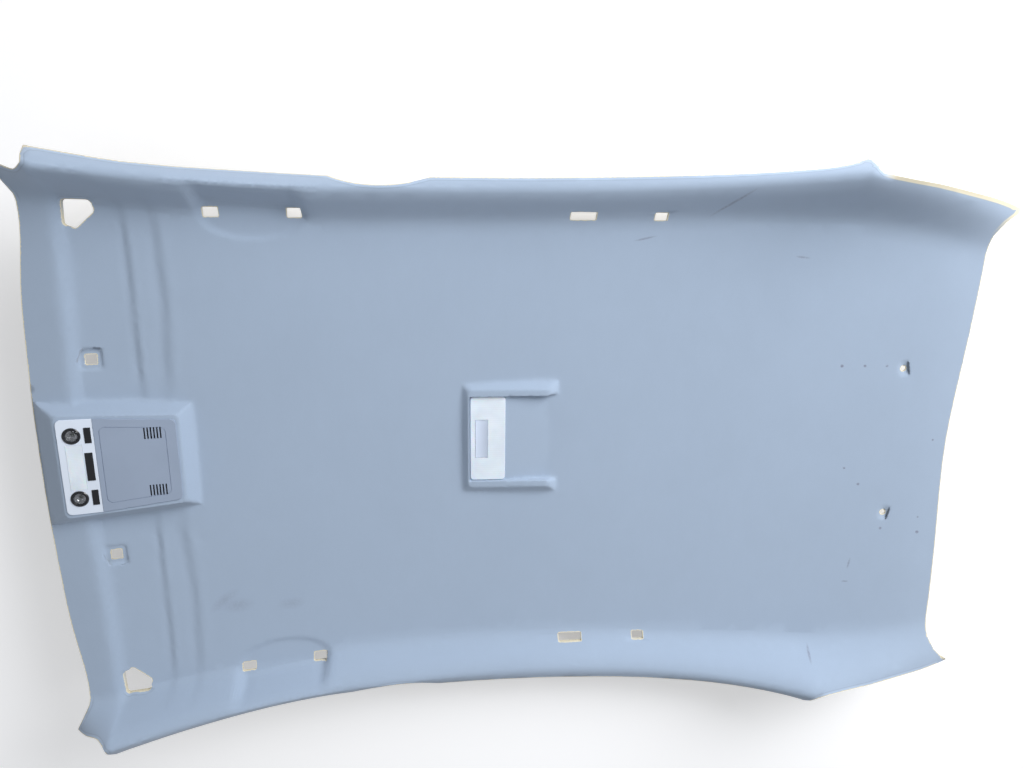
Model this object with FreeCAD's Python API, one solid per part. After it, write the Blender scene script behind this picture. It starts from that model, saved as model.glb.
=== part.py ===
import FreeCAD
import Part
import math
import os
from functools import lru_cache
from FreeCAD import Base, Placement, Rotation, Vector

# Moulded roof lining with its front console and rear lamp, in millimetres.
# +X runs to the rear of the car, +Y to one side, and +Z is the cabin face,
# which looks up while the panel lies on its back. Both halves are mirror
# images across Y = 0. X = 0 is halfway along, and Z = 0 is the lowest back point.

# Driving dimensions of the panel
LENGTH = 2042.0
THICKNESS = 6.0
FRONT_X = -LENGTH / 2.0
REAR_X = LENGTH / 2.0
EDGE_MARGIN = 20.0
COLUMN_STEP = 60.0
FINE_STEP = 11.0

# Roof curve along the centre line
LEVEL_FRONT_X = 26.0
LEVEL_REAR_X = 116.0
FRONT_RISE = 113.0
FRONT_REACH = 925.0
FRONT_POWER = 1.7
REAR_ROOF_RADIUS = 3500.0
REAR_EASE_START = 121.0
REAR_EASE_RADIUS = 760.0
ROOF_CROWN_RADIUS = 3850.0
HEADER_CROWN_RADIUS = 3125.0

# Side walls, crest and rolled lip
WAIST_CREST_HALF = 566.0
FRONT_CREST_HALF = 604.0
PILLAR_CREST_HALF = 604.0
REAR_TIP_CREST_HALF = 539.0
WAIST_FRONT_X = -400.0
WAIST_REAR_X = -100.0
NOTCH_FRONT_X = -408.0
NOTCH_REAR_X = -206.0
NOTCH_DEPTH = 15.5
FRONT_PILLAR_BACKSET = 114.0
REAR_PILLAR_BACKSET = 331.0
CREST_LOW_X = 70.0
CREST_LOW_Z = 102.0
FRONT_CREST_RISE = 171.0
PILLAR_CREST_RISE = 95.0
REAR_TIP_CREST_FALL = 31.0
FRONT_TIP_FALL = 0.85
WALL_RUN = 78.0
WALL_RUN_FRONT_LESS = 12.0
WALL_RUN_REAR_MORE = 34.0
LIP_WIDTH = 20.0
LIP_WIDTH_FRONT_MORE = 10.0
LIP_DROP = 6.0
LIP_DROP_FRONT_MORE = 26.0
LIP_DROP_REAR_MORE = 10.0

# Visor zone behind the windscreen header
RIDGE_BACKSET = 76.0
RIDGE_SWEEP = 0.07
RIDGE_HALF_WIDTH = 11.0
RIDGE_RISE = 3.5
FLANGE_SLOPE = 0.06
TROUGH_DEPTH = 7.5
GROOVE_BACKSET = 203.0
GROOVE_SWEEP = 0.035
GROOVE_STEP = 3.8
FOLD_BACKSET = 243.0
FOLD_SWEEP = 0.10

# Openings in the panel
CLIP_HOLE_X = -901.5
CLIP_HOLE_Y = 218.5
CLIP_HOLE_SIZE = 21.0
CLIP_RECESS_LENGTH = 49.0
CLIP_RECESS_DEPTH = 3.5
VISOR_HOLE_X = -876.0
VISOR_HOLE_Y = 512.0
FRONT_HANDLE_X = -562.0
FRONT_HANDLE_Y = 515.0
FRONT_HANDLE_PITCH = 158.0
FRONT_HANDLE_HOLE_LENGTH = 28.0
HANDLE_HOLE_WIDTH = 19.0
HANDLE_POCKET_HALF = 104.0
HANDLE_POCKET_SHIFT = 26.0
REAR_HANDLE_X = 202.0
REAR_HANDLE_Y = 508.5
REAR_HANDLE_PITCH = 169.0
REAR_HANDLE_LONG_HOLE = 56.0
REAR_HANDLE_SHORT_HOLE = 27.5
REAR_HANDLE_HOLE_WIDTH = 16.5
STUD_HOLE_X = 856.0
STUD_HOLE_Y = 176.5
STUD_HOLE_DIAMETER = 12.0
STUD_DIMPLE_DIAMETER = 32.0
STUD_DIMPLE_DEPTH = 2.5

# Front console, measured on its own tilted face
CONSOLE_X = -967.0
CONSOLE_Z = 167.4
CONSOLE_PITCH = 11.25
CONSOLE_LENGTH = 225.8
BEZEL_LENGTH = 68.2
CONSOLE_FRONT_HALF = 103.8
CONSOLE_JOINT_HALF = 102.6
CONSOLE_REAR_HALF = 89.6
CONSOLE_CORNER = 11.0
FLANGE = 2.4
SEAT_GAP = 0.3
OPENING_INSET = 5.0
SKIRT_INSET = 5.6
SKIRT_DEPTH = 6.0
RUNNING_GAP = 0.4
POD_SHOULDER = 8.5
POD_FRONT_LEDGE = 5.0
POD_REAR_LEDGE = 7.0
POD_SIDE_SLOPE = 0.68
POD_FRONT_SLOPE = 1.1
POD_REAR_SLOPE = 0.9
POD_RIM_BACKSET = 6.0
CONSOLE_WALL = 2.0
CONSOLE_DEPTH = 25.0
HOUSING_INSET = 9.0
BOARD_THICKNESS = 1.6
BOARD_DEPTH = 20.0

# Reading lamps, courtesy lamp and buttons in the bezel
LAMP_U = 27.3
LAMP_Y = 68.5
LAMP_RING_DIAMETER = 35.0
LAMP_RING_BORE = 23.0
LAMP_RING_HEIGHT = 2.0
LAMP_BARREL_DIAMETER = 30.0
LAMP_BARREL_DEPTH = 5.5
REFLECTOR_DEPTH = 13.0
REFLECTOR_WALL = 0.9
BULB_DIAMETER = 6.0
BULB_LENGTH = 9.0
COURTESY_U = 29.0
COURTESY_LENGTH = 31.0
COURTESY_HALF = 49.0
BUTTON_U = 57.3
BUTTON_LENGTH = 12.4
BUTTON_Y = 68.0
BUTTON_WIDTH = 33.0
BUTTON_TRAVEL = 1.5
BUTTON_PROUD = 1.2
ROCKER_U = 54.5
ROCKER_LENGTH = 14.6
ROCKER_WIDTH = 60.0
ROCKER_ANGLE = 4.0
ROCKER_PIN_DIAMETER = 3.0
SWITCH_SIZE = 7.0
SWITCH_HEIGHT = 5.0
ROCKER_FOOT_Y = 22.0
ROCKER_END_GAP = 0.8
LUG_THICKNESS = 1.8
LUG_DEPTH = 5.0
PIN_DEPTH = 2.6
PIN_GAP = 0.1
FESTOON_LENGTH = 30.0
FESTOON_DIAMETER = 9.0
COURTESY_AXIS = -12.5
SOCKET_U = 120.0
SOCKET_LENGTH = 12.0
SOCKET_WIDTH = 24.0

# Console cover with its sound slots
COVER_PANEL_FRONT = 9.4
COVER_PANEL_SIDE = 17.0
COVER_PANEL_REAR = 20.8
COVER_GROOVE = 1.4
SLOT_COUNT = 6
SLOT_PITCH = 6.2
SLOT_WIDTH = 3.2
SLOT_LENGTH = 25.0
SLOT_U = 179.4
SLOT_Y = 63.5
MICROPHONE_LENGTH = 40.0
MICROPHONE_WIDTH = 30.0
CLIP_WIDTH = 14.0
CLIP_SHEET = 1.0
CLIP_BARB = 3.0
CLIP_FRONT_U = 80.0
CLIP_REAR_U = 170.0

# Rear lamp and its pod
LAMP_FRONT_X = -125.0
LAMP_LENGTH = 80.5
LAMP_HALF = 101.0
LAMP_FACE_Z = 18.8
LAMP_CORNER = 8.0
LAMP_DEPTH = 16.0
LAMP_WALL = 1.8
SCOOP_X = -98.9
SCOOP_LENGTH = 28.8
SCOOP_WIDTH = 91.0
SCOOP_ANGLE = 4.0
SCOOP_SAG = 2.2
REAR_BULB_X = -66.0
REAR_BULB_HEIGHT = 7.6
POD_TOP_Z = 25.0
POD_BAR = 6.0
POD_ARM_WIDTH = 17.0
POD_LENGTH = 190.0
POD_EDGE_SLOPE = 1.2
POD_RAMP_LENGTH = 112.0
POD_RUNOUT = 40.0
POD_RUNOUT_DEPTH = 0.5


def ramp(value, start, end):
    """Smooth step from 0 at start to 1 at end."""
    t = min(1.0, max(0.0, (value - start) / (end - start)))
    return t * t * (3.0 - 2.0 * t)


def path(points, x):
    """Straight runs between points that are in order of X."""
    for (xa, ya), (xb, yb) in zip(points[:-1], points[1:]):
        if x <= xb:
            return ya + (yb - ya) * min(1.0, max(0.0, (x - xa) / (xb - xa)))
    return points[-1][1]


def front_pillar_x():
    return FRONT_X + FRONT_PILLAR_BACKSET


def rear_pillar_x():
    return REAR_X - REAR_PILLAR_BACKSET


@lru_cache(maxsize=None)
def roof_line(x):
    """Height of the roof curve on the centre line, before any pressed feature."""
    if x < LEVEL_FRONT_X:
        rise = FRONT_RISE * ((LEVEL_FRONT_X - x) / FRONT_REACH) ** FRONT_POWER
    else:
        rise = max(0.0, x - LEVEL_REAR_X) ** 2 / (2.0 * REAR_ROOF_RADIUS)
        rise -= max(0.0, x - (REAR_X - REAR_EASE_START)) ** 2 / (2.0 * REAR_EASE_RADIUS)
    return THICKNESS + rise


@lru_cache(maxsize=None)
def crown_radius(x):
    header = ramp(-x, 300.0, 700.0)
    return ROOF_CROWN_RADIUS + (HEADER_CROWN_RADIUS - ROOF_CROWN_RADIUS) * header


@lru_cache(maxsize=None)
def crest_half_width(x):
    """Half width of the line where the side wall turns over into the lip."""
    if x < WAIST_FRONT_X:
        t = min(1.0, (WAIST_FRONT_X - x) / (WAIST_FRONT_X - front_pillar_x()))
        return WAIST_CREST_HALF + (FRONT_CREST_HALF - WAIST_CREST_HALF) * t ** 1.9
    if x < WAIST_REAR_X:
        return WAIST_CREST_HALF
    if x < rear_pillar_x():
        t = (x - WAIST_REAR_X) / (rear_pillar_x() - WAIST_REAR_X)
        return WAIST_CREST_HALF + (PILLAR_CREST_HALF - WAIST_CREST_HALF) * t ** 2.2
    t = (x - rear_pillar_x()) / REAR_PILLAR_BACKSET
    return PILLAR_CREST_HALF - (PILLAR_CREST_HALF - REAR_TIP_CREST_HALF) * t ** 1.6


@lru_cache(maxsize=None)
def crest_height(x):
    """Height of the crest, which climbs towards both pillars."""
    if x < CREST_LOW_X:
        t = (CREST_LOW_X - max(x, front_pillar_x())) / (CREST_LOW_X - front_pillar_x())
        return CREST_LOW_Z + FRONT_CREST_RISE * t ** 2 - FRONT_TIP_FALL * max(0.0, front_pillar_x() - x)
    t = (min(x, rear_pillar_x()) - CREST_LOW_X) / (rear_pillar_x() - CREST_LOW_X)
    fall = REAR_TIP_CREST_FALL * max(0.0, x - rear_pillar_x()) / REAR_PILLAR_BACKSET
    return CREST_LOW_Z + PILLAR_CREST_RISE * t ** 2.6 - fall


@lru_cache(maxsize=None)
def wall_run(x):
    front_less = WALL_RUN_FRONT_LESS * ramp(-x, 300.0, 900.0)
    return WALL_RUN - front_less + WALL_RUN_REAR_MORE * ramp(x, 300.0, 850.0)


@lru_cache(maxsize=None)
def lip_width(x):
    return LIP_WIDTH + LIP_WIDTH_FRONT_MORE * ramp(-x, 400.0, 900.0)


@lru_cache(maxsize=None)
def lip_drop(x):
    front = ramp(CREST_LOW_X - x, 0.0, CREST_LOW_X - front_pillar_x())
    return LIP_DROP + LIP_DROP_FRONT_MORE * front + LIP_DROP_REAR_MORE * ramp(x, 300.0, rear_pillar_x())


@lru_cache(maxsize=None)
def foot_half_width(x):
    """Half width where the side wall leaves the roof, further out in the handle pocket."""
    reach = abs(x - FRONT_HANDLE_X)
    pocket = 1.0 - ramp(reach, HANDLE_POCKET_HALF - 22.0, HANDLE_POCKET_HALF + 8.0)
    return crest_half_width(x) - wall_run(x) + HANDLE_POCKET_SHIFT * pocket


def visor_zone(x, side, is_back):
    """Change of height from the header flange, its ridge, the visor trough and its steps."""
    ridge = FRONT_X + RIDGE_BACKSET + RIDGE_SWEEP * side
    flange = 0.0
    if x < ridge:
        flange = roof_line(ridge) - roof_line(x) + FLANGE_SLOPE * (ridge - x)
    if is_back:
        return flange - TROUGH_DEPTH * (1.0 - ramp(x, FRONT_X + 221.0, FRONT_X + 381.0))
    groove = FRONT_X + GROOVE_BACKSET + GROOVE_SWEEP * side
    fold = FRONT_X + FOLD_BACKSET + FOLD_SWEEP * min(side, 330.0)
    behind_ridge = ramp(x, ridge - RIDGE_HALF_WIDTH, ridge + RIDGE_HALF_WIDTH)
    trough = TROUGH_DEPTH * behind_ridge
    trough -= GROOVE_STEP * ramp(x, groove - 4.0, groove + 4.0)
    trough -= (TROUGH_DEPTH - GROOVE_STEP) * ramp(x, fold - 8.0, fold + 8.0)
    return flange + RIDGE_RISE * (1.0 - behind_ridge) - trough


def roof_height(x, y, is_back=False):
    """Height of the roof over the plan point, without its side walls."""
    side = abs(y)
    return roof_line(x) + side * side / (2.0 * crown_radius(x)) + visor_zone(x, side, is_back)


def cabin_height(x, y, is_back=False):
    """Height of the moulded form over the plan point, with walls and lips."""
    side = abs(y)
    crest = crest_half_width(x)
    if side >= crest:
        return crest_height(x) - lip_drop(x) * ((side - crest) / lip_width(x)) ** 1.5
    base = roof_height(x, y, is_back)
    return base + (crest_height(x) - base) * ramp(side, foot_half_width(x), crest)


def back_height(x, y):
    """Height of the bare back, one wall thickness under the form along its normal."""
    step = 3.0
    rise_x = (cabin_height(x + step, y, True) - cabin_height(x - step, y, True)) / (2.0 * step)
    rise_y = (cabin_height(x, y + step, True) - cabin_height(x, y - step, True)) / (2.0 * step)
    return cabin_height(x, y, True) - THICKNESS * math.sqrt(1.0 + rise_x ** 2 + rise_y ** 2)


def front_recess():
    """Trimmed edge between the front tip and the front pillar tip, as half widths."""
    tip = FRONT_CREST_HALF
    return [(FRONT_X + 24.0, tip - 4.0), (FRONT_X + 45.0, tip - 1.5), (FRONT_X + 63.0, tip - 7.0),
            (FRONT_X + 78.0, tip - 11.5), (FRONT_X + 92.0, tip - 11.0), (FRONT_X + 105.0, tip - 5.0),
            (front_pillar_x(), crest_half_width(front_pillar_x()))]


def rear_recess():
    """Trimmed edge between the rear pillar tip and the rear tip, as half widths."""
    tip = PILLAR_CREST_HALF
    start = rear_pillar_x()
    return [(start, crest_half_width(start)), (start + 9.0, tip - 4.0), (start + 37.0, tip - 8.5),
            (start + 83.0, tip - 14.0), (start + 128.0, tip - 21.0), (start + 174.0, tip - 30.5),
            (start + 221.0, tip - 40.0), (start + 267.0, tip - 50.5), (REAR_X, REAR_TIP_CREST_HALF - 8.0)]


def lip_edge():
    """Trimmed outer edge of the lip from front pillar tip to rear pillar tip, as half widths."""
    waist = WAIST_CREST_HALF + LIP_WIDTH
    start = front_pillar_x() - 10.0
    end = rear_pillar_x() - 14.0
    notch = waist - NOTCH_DEPTH
    return [(start, FRONT_CREST_HALF + 30.0), (start + 43.0, waist + 40.5), (start + 101.0, waist + 30.0),
            (start + 148.0, waist + 23.0), (start + 234.0, waist + 15.0), (start + 322.0, waist + 10.0),
            (start + 417.0, waist + 5.0), (NOTCH_FRONT_X, waist + 1.0), (NOTCH_FRONT_X + 33.0, waist - 6.0),
            (NOTCH_FRONT_X + 58.0, notch + 1.5), (NOTCH_FRONT_X + 106.0, notch),
            (NOTCH_REAR_X - 41.0, notch + 2.5), (NOTCH_REAR_X - 10.0, waist - 7.0), (NOTCH_REAR_X, waist),
            (end - 750.0, waist + 0.3), (end - 600.0, waist + 2.0), (end - 478.0, waist + 5.0),
            (end - 357.0, waist + 8.7), (end - 229.0, waist + 14.0), (end - 106.0, waist + 23.6),
            (end - 25.0, waist + 34.0), (end, PILLAR_CREST_HALF + 27.0)]


def wall_edge(x):
    """Half width of the outer edge of the side wall, which is trimmed at both ends."""
    if x <= front_pillar_x():
        return path(front_recess(), x)
    if x >= rear_pillar_x():
        return path(rear_recess(), x)
    return crest_half_width(x)


def row_end(share, start, edge):
    """X where a wall row at this share of the wall meets the trimmed end of the panel."""
    x = start
    for _ in range(60):
        foot = foot_half_width(x)
        x = (x + path(edge, foot + share * (wall_edge(x) - foot))) / 2.0
    return x


def front_corner_edge():
    """Trimmed front edge near the tip, as X for each half width."""
    tip = FRONT_CREST_HALF
    return [(tip - 66.0, FRONT_X + 48.0), (tip - 52.0, FRONT_X + 47.0), (tip - 32.0, FRONT_X + 39.0),
            (tip - 4.0, FRONT_X + 24.0)]


def rear_corner_edge():
    """Trimmed rear edge near the tip, as X for each half width."""
    tip = REAR_TIP_CREST_HALF - 8.0
    return [(tip - 106.0, REAR_X - 44.0), (tip - 76.0, REAR_X - 45.0), (tip - 55.0, REAR_X - 44.5),
            (tip - 40.0, REAR_X - 41.0), (tip - 28.0, REAR_X - 34.0), (tip - 17.0, REAR_X - 25.0),
            (tip - 7.0, REAR_X - 13.0), (tip, REAR_X)]


def spaced(stops):
    """Grid lines between stops, each given as (place, largest step to the next stop)."""
    lines = []
    for (start, step), (end, _) in zip(stops[:-1], stops[1:]):
        count = max(1, math.ceil((end - start) / step))
        lines += [start + (end - start) * k / count for k in range(count)]
    return lines + [stops[-1][0]]


def columns(start, end):
    """Places along X of the points of a row, closer where the visor and handle are."""
    marks = [(FRONT_X + 20.0, 15.0), (FRONT_X + 280.0, 20.0), (FRONT_HANDLE_X + 122.0, 70.0)]
    stops = [(start, [step for place, step in marks if place <= start + 0.1 or place == marks[0][0]][-1])]
    stops += [(place, step) for place, step in marks if start + 1.0 < place < end - 1.0]
    return spaced(stops + [(end, 0.0)])


def wall_rows(side, height):
    """Rows of points from the wall's foot to its crest, each in runs between the corners."""
    rows = []
    for share in (0.0, 0.18, 0.36, 0.66, 0.86, 1.0):
        start = row_end(share, FRONT_X + 48.0, front_corner_edge())
        end = row_end(share, REAR_X - 44.0, rear_corner_edge())
        marks = [start, front_pillar_x(), NOTCH_FRONT_X, NOTCH_REAR_X, rear_pillar_x(), end]
        runs = []
        for first, last in zip(marks[:-1], marks[1:]):
            run = []
            for x in columns(first, last):
                foot = foot_half_width(x)
                y = side * (foot + share * (wall_edge(x) - foot))
                run.append(Vector(x, y, height(x, y)))
            runs.append(run)
        rows.append(runs)
    return rows


def lip_rows(side, height):
    """Rows of points across the lip, whose ends overhang towards the front."""
    marks = [front_pillar_x(), NOTCH_FRONT_X, NOTCH_REAR_X, rear_pillar_x()]
    rows = []
    for share in (0.5, 1.0):
        runs = []
        for first, last in zip(marks[:-1], marks[1:]):
            run = []
            for column in columns(first, last):
                x = column - 10.0 * share * (1.0 - ramp(column, marks[0], marks[0] + 60.0))
                x -= 14.0 * share * ramp(column, marks[-1] - 60.0, marks[-1])
                crest = crest_half_width(column)
                y = side * (crest + share * (path(lip_edge(), x) - crest))
                run.append(Vector(x, y, height(x, y)))
            runs.append(run)
        rows.append([None] + runs + [None])
    return rows


def plan_spline(points):
    curve = Part.Geom2d.BSplineCurve2d()
    curve.interpolate([Base.Vector2d(x, y) for x, y in points])
    return curve


def space_spline(points):
    curve = Part.BSplineCurve()
    curve.interpolate(points)
    return curve.toShape()


def graph_surface(height, knots_x, knots_y):
    """Cubic surface over the plan whose two parameters are X and Y themselves."""

    def middles(knots):
        full = [knots[0]] * 3 + knots + [knots[-1]] * 3
        return [sum(full[k + 1:k + 4]) / 3.0 for k in range(len(knots) + 2)]

    places_y = middles(knots_y)
    poles = [[Vector(x, y, height(x, y)) for y in places_y] for x in middles(knots_x)]
    surface = Part.BSplineSurface()
    surface.buildFromPolesMultsKnots(
        poles, [4] + [1] * (len(knots_x) - 2) + [4], [4] + [1] * (len(knots_y) - 2) + [4],
        knots_x, knots_y, False, False, 3, 3)
    return surface


def roof_surface(is_back):
    def height(x, y):
        return roof_height(x, y, is_back) - (THICKNESS if is_back else 0.0)

    fine = 3.0 * FINE_STEP if is_back else FINE_STEP
    limit = FRONT_CREST_HALF
    knots_x = spaced([(FRONT_X - EDGE_MARGIN, fine), (FRONT_X + 290.0, COLUMN_STEP),
                      (REAR_X + EDGE_MARGIN, COLUMN_STEP)])
    knots_y = spaced([(-limit, COLUMN_STEP), (0.0, COLUMN_STEP), (limit, COLUMN_STEP)])
    return graph_surface(height, knots_x, knots_y)


def front_edge():
    """Trimmed front edge in plan, between the feet of the two walls."""
    x = row_end(0.0, FRONT_X + 48.0, front_corner_edge())
    half = [(x, foot_half_width(x)), (FRONT_X + 42.0, 475.0), (FRONT_X + 30.0, 415.0),
            (FRONT_X + 17.0, 335.0), (FRONT_X + 11.0, 270.0), (FRONT_X + 3.0, 150.0)]
    return plan_spline(half + [(FRONT_X, 0.0)] + [(x, -y) for x, y in reversed(half)])


def rear_edge():
    """Trimmed rear edge in plan, between the feet of the two walls."""
    x = row_end(0.0, REAR_X - 44.0, rear_corner_edge())
    half = [(x, foot_half_width(x)), (REAR_X - 41.0, 330.0), (REAR_X - 42.0, 215.0), (REAR_X - 47.0, 90.0)]
    return plan_spline([(x, -y) for x, y in half] + [(REAR_X - 49.0, 0.0)] + list(reversed(half)))


def moulded_face(is_back):
    """Faces of one side of the panel, with the edges that its trimmed border needs."""
    surface = roof_surface(is_back)
    height = back_height if is_back else cabin_height
    faces = []
    grids = []
    for side in (1.0, -1.0):
        rows = wall_rows(side, height)
        foot = [plan_spline([(p.x, p.y) for p in run]).toShape(surface) for run in rows[0]]
        grid = [foot] + [[space_spline(run) for run in row] for row in rows[1:]]
        grid += [[run and space_spline(run) for run in row] for row in lip_rows(side, height)]
        for inner, outer in zip(grid[:-1], grid[1:]):
            pairs = [pair for pair in zip(inner, outer) if pair[0] and pair[1]]
            faces += [face for pair in pairs for face in Part.makeRuledSurface(*pair).Faces]
        grids.append(grid)
    nose = front_edge().toShape(surface)
    tail = rear_edge().toShape(surface)
    loop = Part.Wire([tail] + grids[0][0][::-1] + [nose] + grids[1][0])
    faces.append(Part.makeFace(loop, "Part::FaceMakerSimple"))
    return faces, grids, nose, tail


def run_ends(rows, run, is_last):
    """Straight border edges across the ends of one run of neighbouring rows."""
    points = []
    for row in rows:
        edge = row[run]
        points.append(edge.valueAt(edge.LastParameter if is_last else edge.FirstParameter))
    return [Part.makeLine(a, b) for a, b in zip(points[:-1], points[1:])]


def border_edges(grids, nose, tail):
    edges = [nose, tail]
    for grid in grids:
        wall, lip = grid[:-2], grid[-3:]
        edges += [grid[-3][0], grid[-3][-1]] + grid[-1][1:-1]
        edges += run_ends(wall, 0, False) + run_ends(wall, -1, True)
        edges += run_ends(lip, 1, False) + run_ends(lip, -2, True)
    return edges


def moulded_panel():
    """Plain panel as one solid: cabin face, back face and the trimmed edge between them."""
    upper, lower = moulded_face(False), moulded_face(True)
    faces = upper[0] + lower[0]
    for a, b in zip(border_edges(*upper[1:]), border_edges(*lower[1:])):
        faces += Part.makeRuledSurface(a, b).Faces
    shell = Part.makeShell(faces)
    shell.sewShape(0.01)
    solid = Part.makeSolid(shell)
    if solid.Volume < 0.0:
        solid.reverse()
    return solid


def prism(points, low, high):
    """Straight solid over a plan polygon between two heights."""
    loop = [Vector(x, y, low) for x, y in points]
    return Part.Face(Part.makePolygon(loop + loop[:1])).extrude(Vector(0.0, 0.0, high - low))


def rounded(solid, radius, first=-1.0e6, last=1.0e6):
    """Round the upright edges whose X lies between two limits."""
    edges = []
    for edge in solid.Edges:
        a, b = edge.Vertexes[0].Point, edge.Vertexes[-1].Point
        if abs(a.x - b.x) + abs(a.y - b.y) < 0.001 and first < a.x < last:
            edges.append(edge)
    return solid.makeFillet(radius, edges)


def block(x, y, length, width, low, high):
    return Part.makeBox(length, width, high - low, Vector(x - length / 2.0, y - width / 2.0, low))


def rod(x, y, radius, low, high):
    return Part.makeCylinder(radius, high - low, Vector(x, y, low))


def frustum(corners, slopes, top, bottom):
    """Solid under a flat top whose sides lean outwards as they go down."""
    depth = top - bottom
    upper = [Vector(x, y, top) for x, y in corners]
    lower = [Vector(x + a * depth, y + b * depth, bottom) for (x, y), (a, b) in zip(corners, slopes)]
    wires = [Part.makePolygon(loop + loop[:1]) for loop in (upper, lower)]
    return Part.makeLoft(wires, True, True)


def inset_for(slope):
    """Level distance that keeps one wall thickness between two parallel leaning sides."""
    return THICKNESS * (math.sqrt(1.0 + slope * slope) - slope)


def in_console(shape):
    """Turn a shape from the console's own face to its place in the panel."""
    turn = Placement(Vector(CONSOLE_X, 0.0, CONSOLE_Z), Rotation(Vector(0.0, 1.0, 0.0), CONSOLE_PITCH))
    placed = shape.copy()
    placed.Placement = turn.multiply(shape.Placement)
    return placed


def under_roof(start, end):
    """Everything under the middle of the panel's thickness near one pod."""

    def height(x, y):
        return roof_height(x, y, True) - THICKNESS + 2.5

    half = CONSOLE_FRONT_HALF + 120.0
    surface = graph_surface(height, spaced([(start, 30.0), (end, 0.0)]), spaced([(-half, 60.0), (half, 0.0)]))
    return surface.toShape().extrude(Vector(0.0, 0.0, -300.0))


def console_pod():
    """Outside and inside of the raised surround that the console sits in."""
    seat = -(FLANGE + SEAT_GAP)
    front, rear = -POD_FRONT_LEDGE, CONSOLE_LENGTH + POD_REAR_LEDGE
    wide, narrow = CONSOLE_FRONT_HALF + POD_SHOULDER, CONSOLE_REAR_HALF + POD_SHOULDER
    slopes = [(-POD_FRONT_SLOPE, -POD_SIDE_SLOPE), (POD_REAR_SLOPE, -POD_SIDE_SLOPE),
              (POD_REAR_SLOPE, POD_SIDE_SLOPE), (-POD_FRONT_SLOPE, POD_SIDE_SLOPE)]
    outside = frustum([(front, -wide), (rear, -narrow), (rear, narrow), (front, wide)], slopes, seat, seat - 70.0)
    a, b, c = inset_for(POD_FRONT_SLOPE), inset_for(POD_REAR_SLOPE), inset_for(POD_SIDE_SLOPE)
    corners = [(front + a, c - wide), (rear - b, c - narrow), (rear - b, narrow - c), (front + a, wide - c)]
    inside = frustum(corners, slopes, seat - THICKNESS, seat - 130.0)
    room = Part.makeBox(600.0, 400.0, 400.0, Vector(FRONT_X + POD_RIM_BACKSET, -200.0, 0.0))
    return in_console(outside).common(room), in_console(inside)


def rear_pod():
    """Outside and inside of the U-shaped surround of the rear lamp."""
    slope = POD_EDGE_SLOPE
    front = LAMP_FRONT_X - POD_BAR
    end = front + POD_LENGTH
    wide = LAMP_HALF + POD_ARM_WIDTH
    slopes = [(-slope, -slope), (slope, -slope), (slope, slope), (-slope, slope)]
    outside = frustum([(front, -wide), (end, -wide), (end, wide), (front, wide)], slopes, POD_TOP_Z, -20.0)
    inset = inset_for(slope)
    corners = [(front + inset, inset - wide), (end - inset, inset - wide), (end - inset, wide - inset),
               (front + inset, wide - inset)]
    inside = frustum(corners, slopes, POD_TOP_Z - THICKNESS, -60.0)
    return outside.cut(lamp_seat(0.0)), inside.cut(lamp_seat(THICKNESS))


def lamp_seat(grow):
    """Room over the lamp seat and the ramp behind it, grown outwards by one distance."""
    seat = LAMP_FACE_Z - FLANGE - SEAT_GAP - grow
    start = LAMP_FRONT_X - 2.0 - grow
    knee = LAMP_FRONT_X + LAMP_LENGTH
    foot = knee + POD_RAMP_LENGTH
    end = foot + POD_RUNOUT
    low = THICKNESS - POD_RUNOUT_DEPTH - grow
    half = LAMP_HALF + 2.0 + grow
    profile = [(start, seat), (knee, seat), (foot, low), (end, low), (end, 60.0), (start, 60.0)]
    loop = [Vector(x, -half, z) for x, z in profile]
    return Part.Face(Part.makePolygon(loop + loop[:1])).extrude(Vector(0.0, 2.0 * half, 0.0))


def rectangle(x, y, length, width):
    a, b = length / 2.0, width / 2.0
    return [(x - a, y - b), (x + a, y - b), (x + a, y + b), (x - a, y + b)]


def visor_hole():
    """Rounded corner-shaped hole that the visor arm bracket passes through."""
    x, y = VISOR_HOLE_X, VISOR_HOLE_Y
    return [(x - 9.0, y - 29.0), (x + 28.0, y + 4.0), (x + 25.0, y + 26.0), (x - 23.0, y + 27.0),
            (x - 28.0, y - 20.0)]


def handle_holes():
    front, rear = FRONT_HANDLE_PITCH / 2.0, REAR_HANDLE_PITCH / 2.0
    return [
        rectangle(FRONT_HANDLE_X - front, FRONT_HANDLE_Y, FRONT_HANDLE_HOLE_LENGTH, HANDLE_HOLE_WIDTH),
        rectangle(FRONT_HANDLE_X + front, FRONT_HANDLE_Y - 2.0, FRONT_HANDLE_HOLE_LENGTH, HANDLE_HOLE_WIDTH),
        rectangle(REAR_HANDLE_X - rear, REAR_HANDLE_Y, REAR_HANDLE_LONG_HOLE, REAR_HANDLE_HOLE_WIDTH),
        rectangle(REAR_HANDLE_X + rear, REAR_HANDLE_Y, REAR_HANDLE_SHORT_HOLE, REAR_HANDLE_HOLE_WIDTH),
    ]


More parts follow.
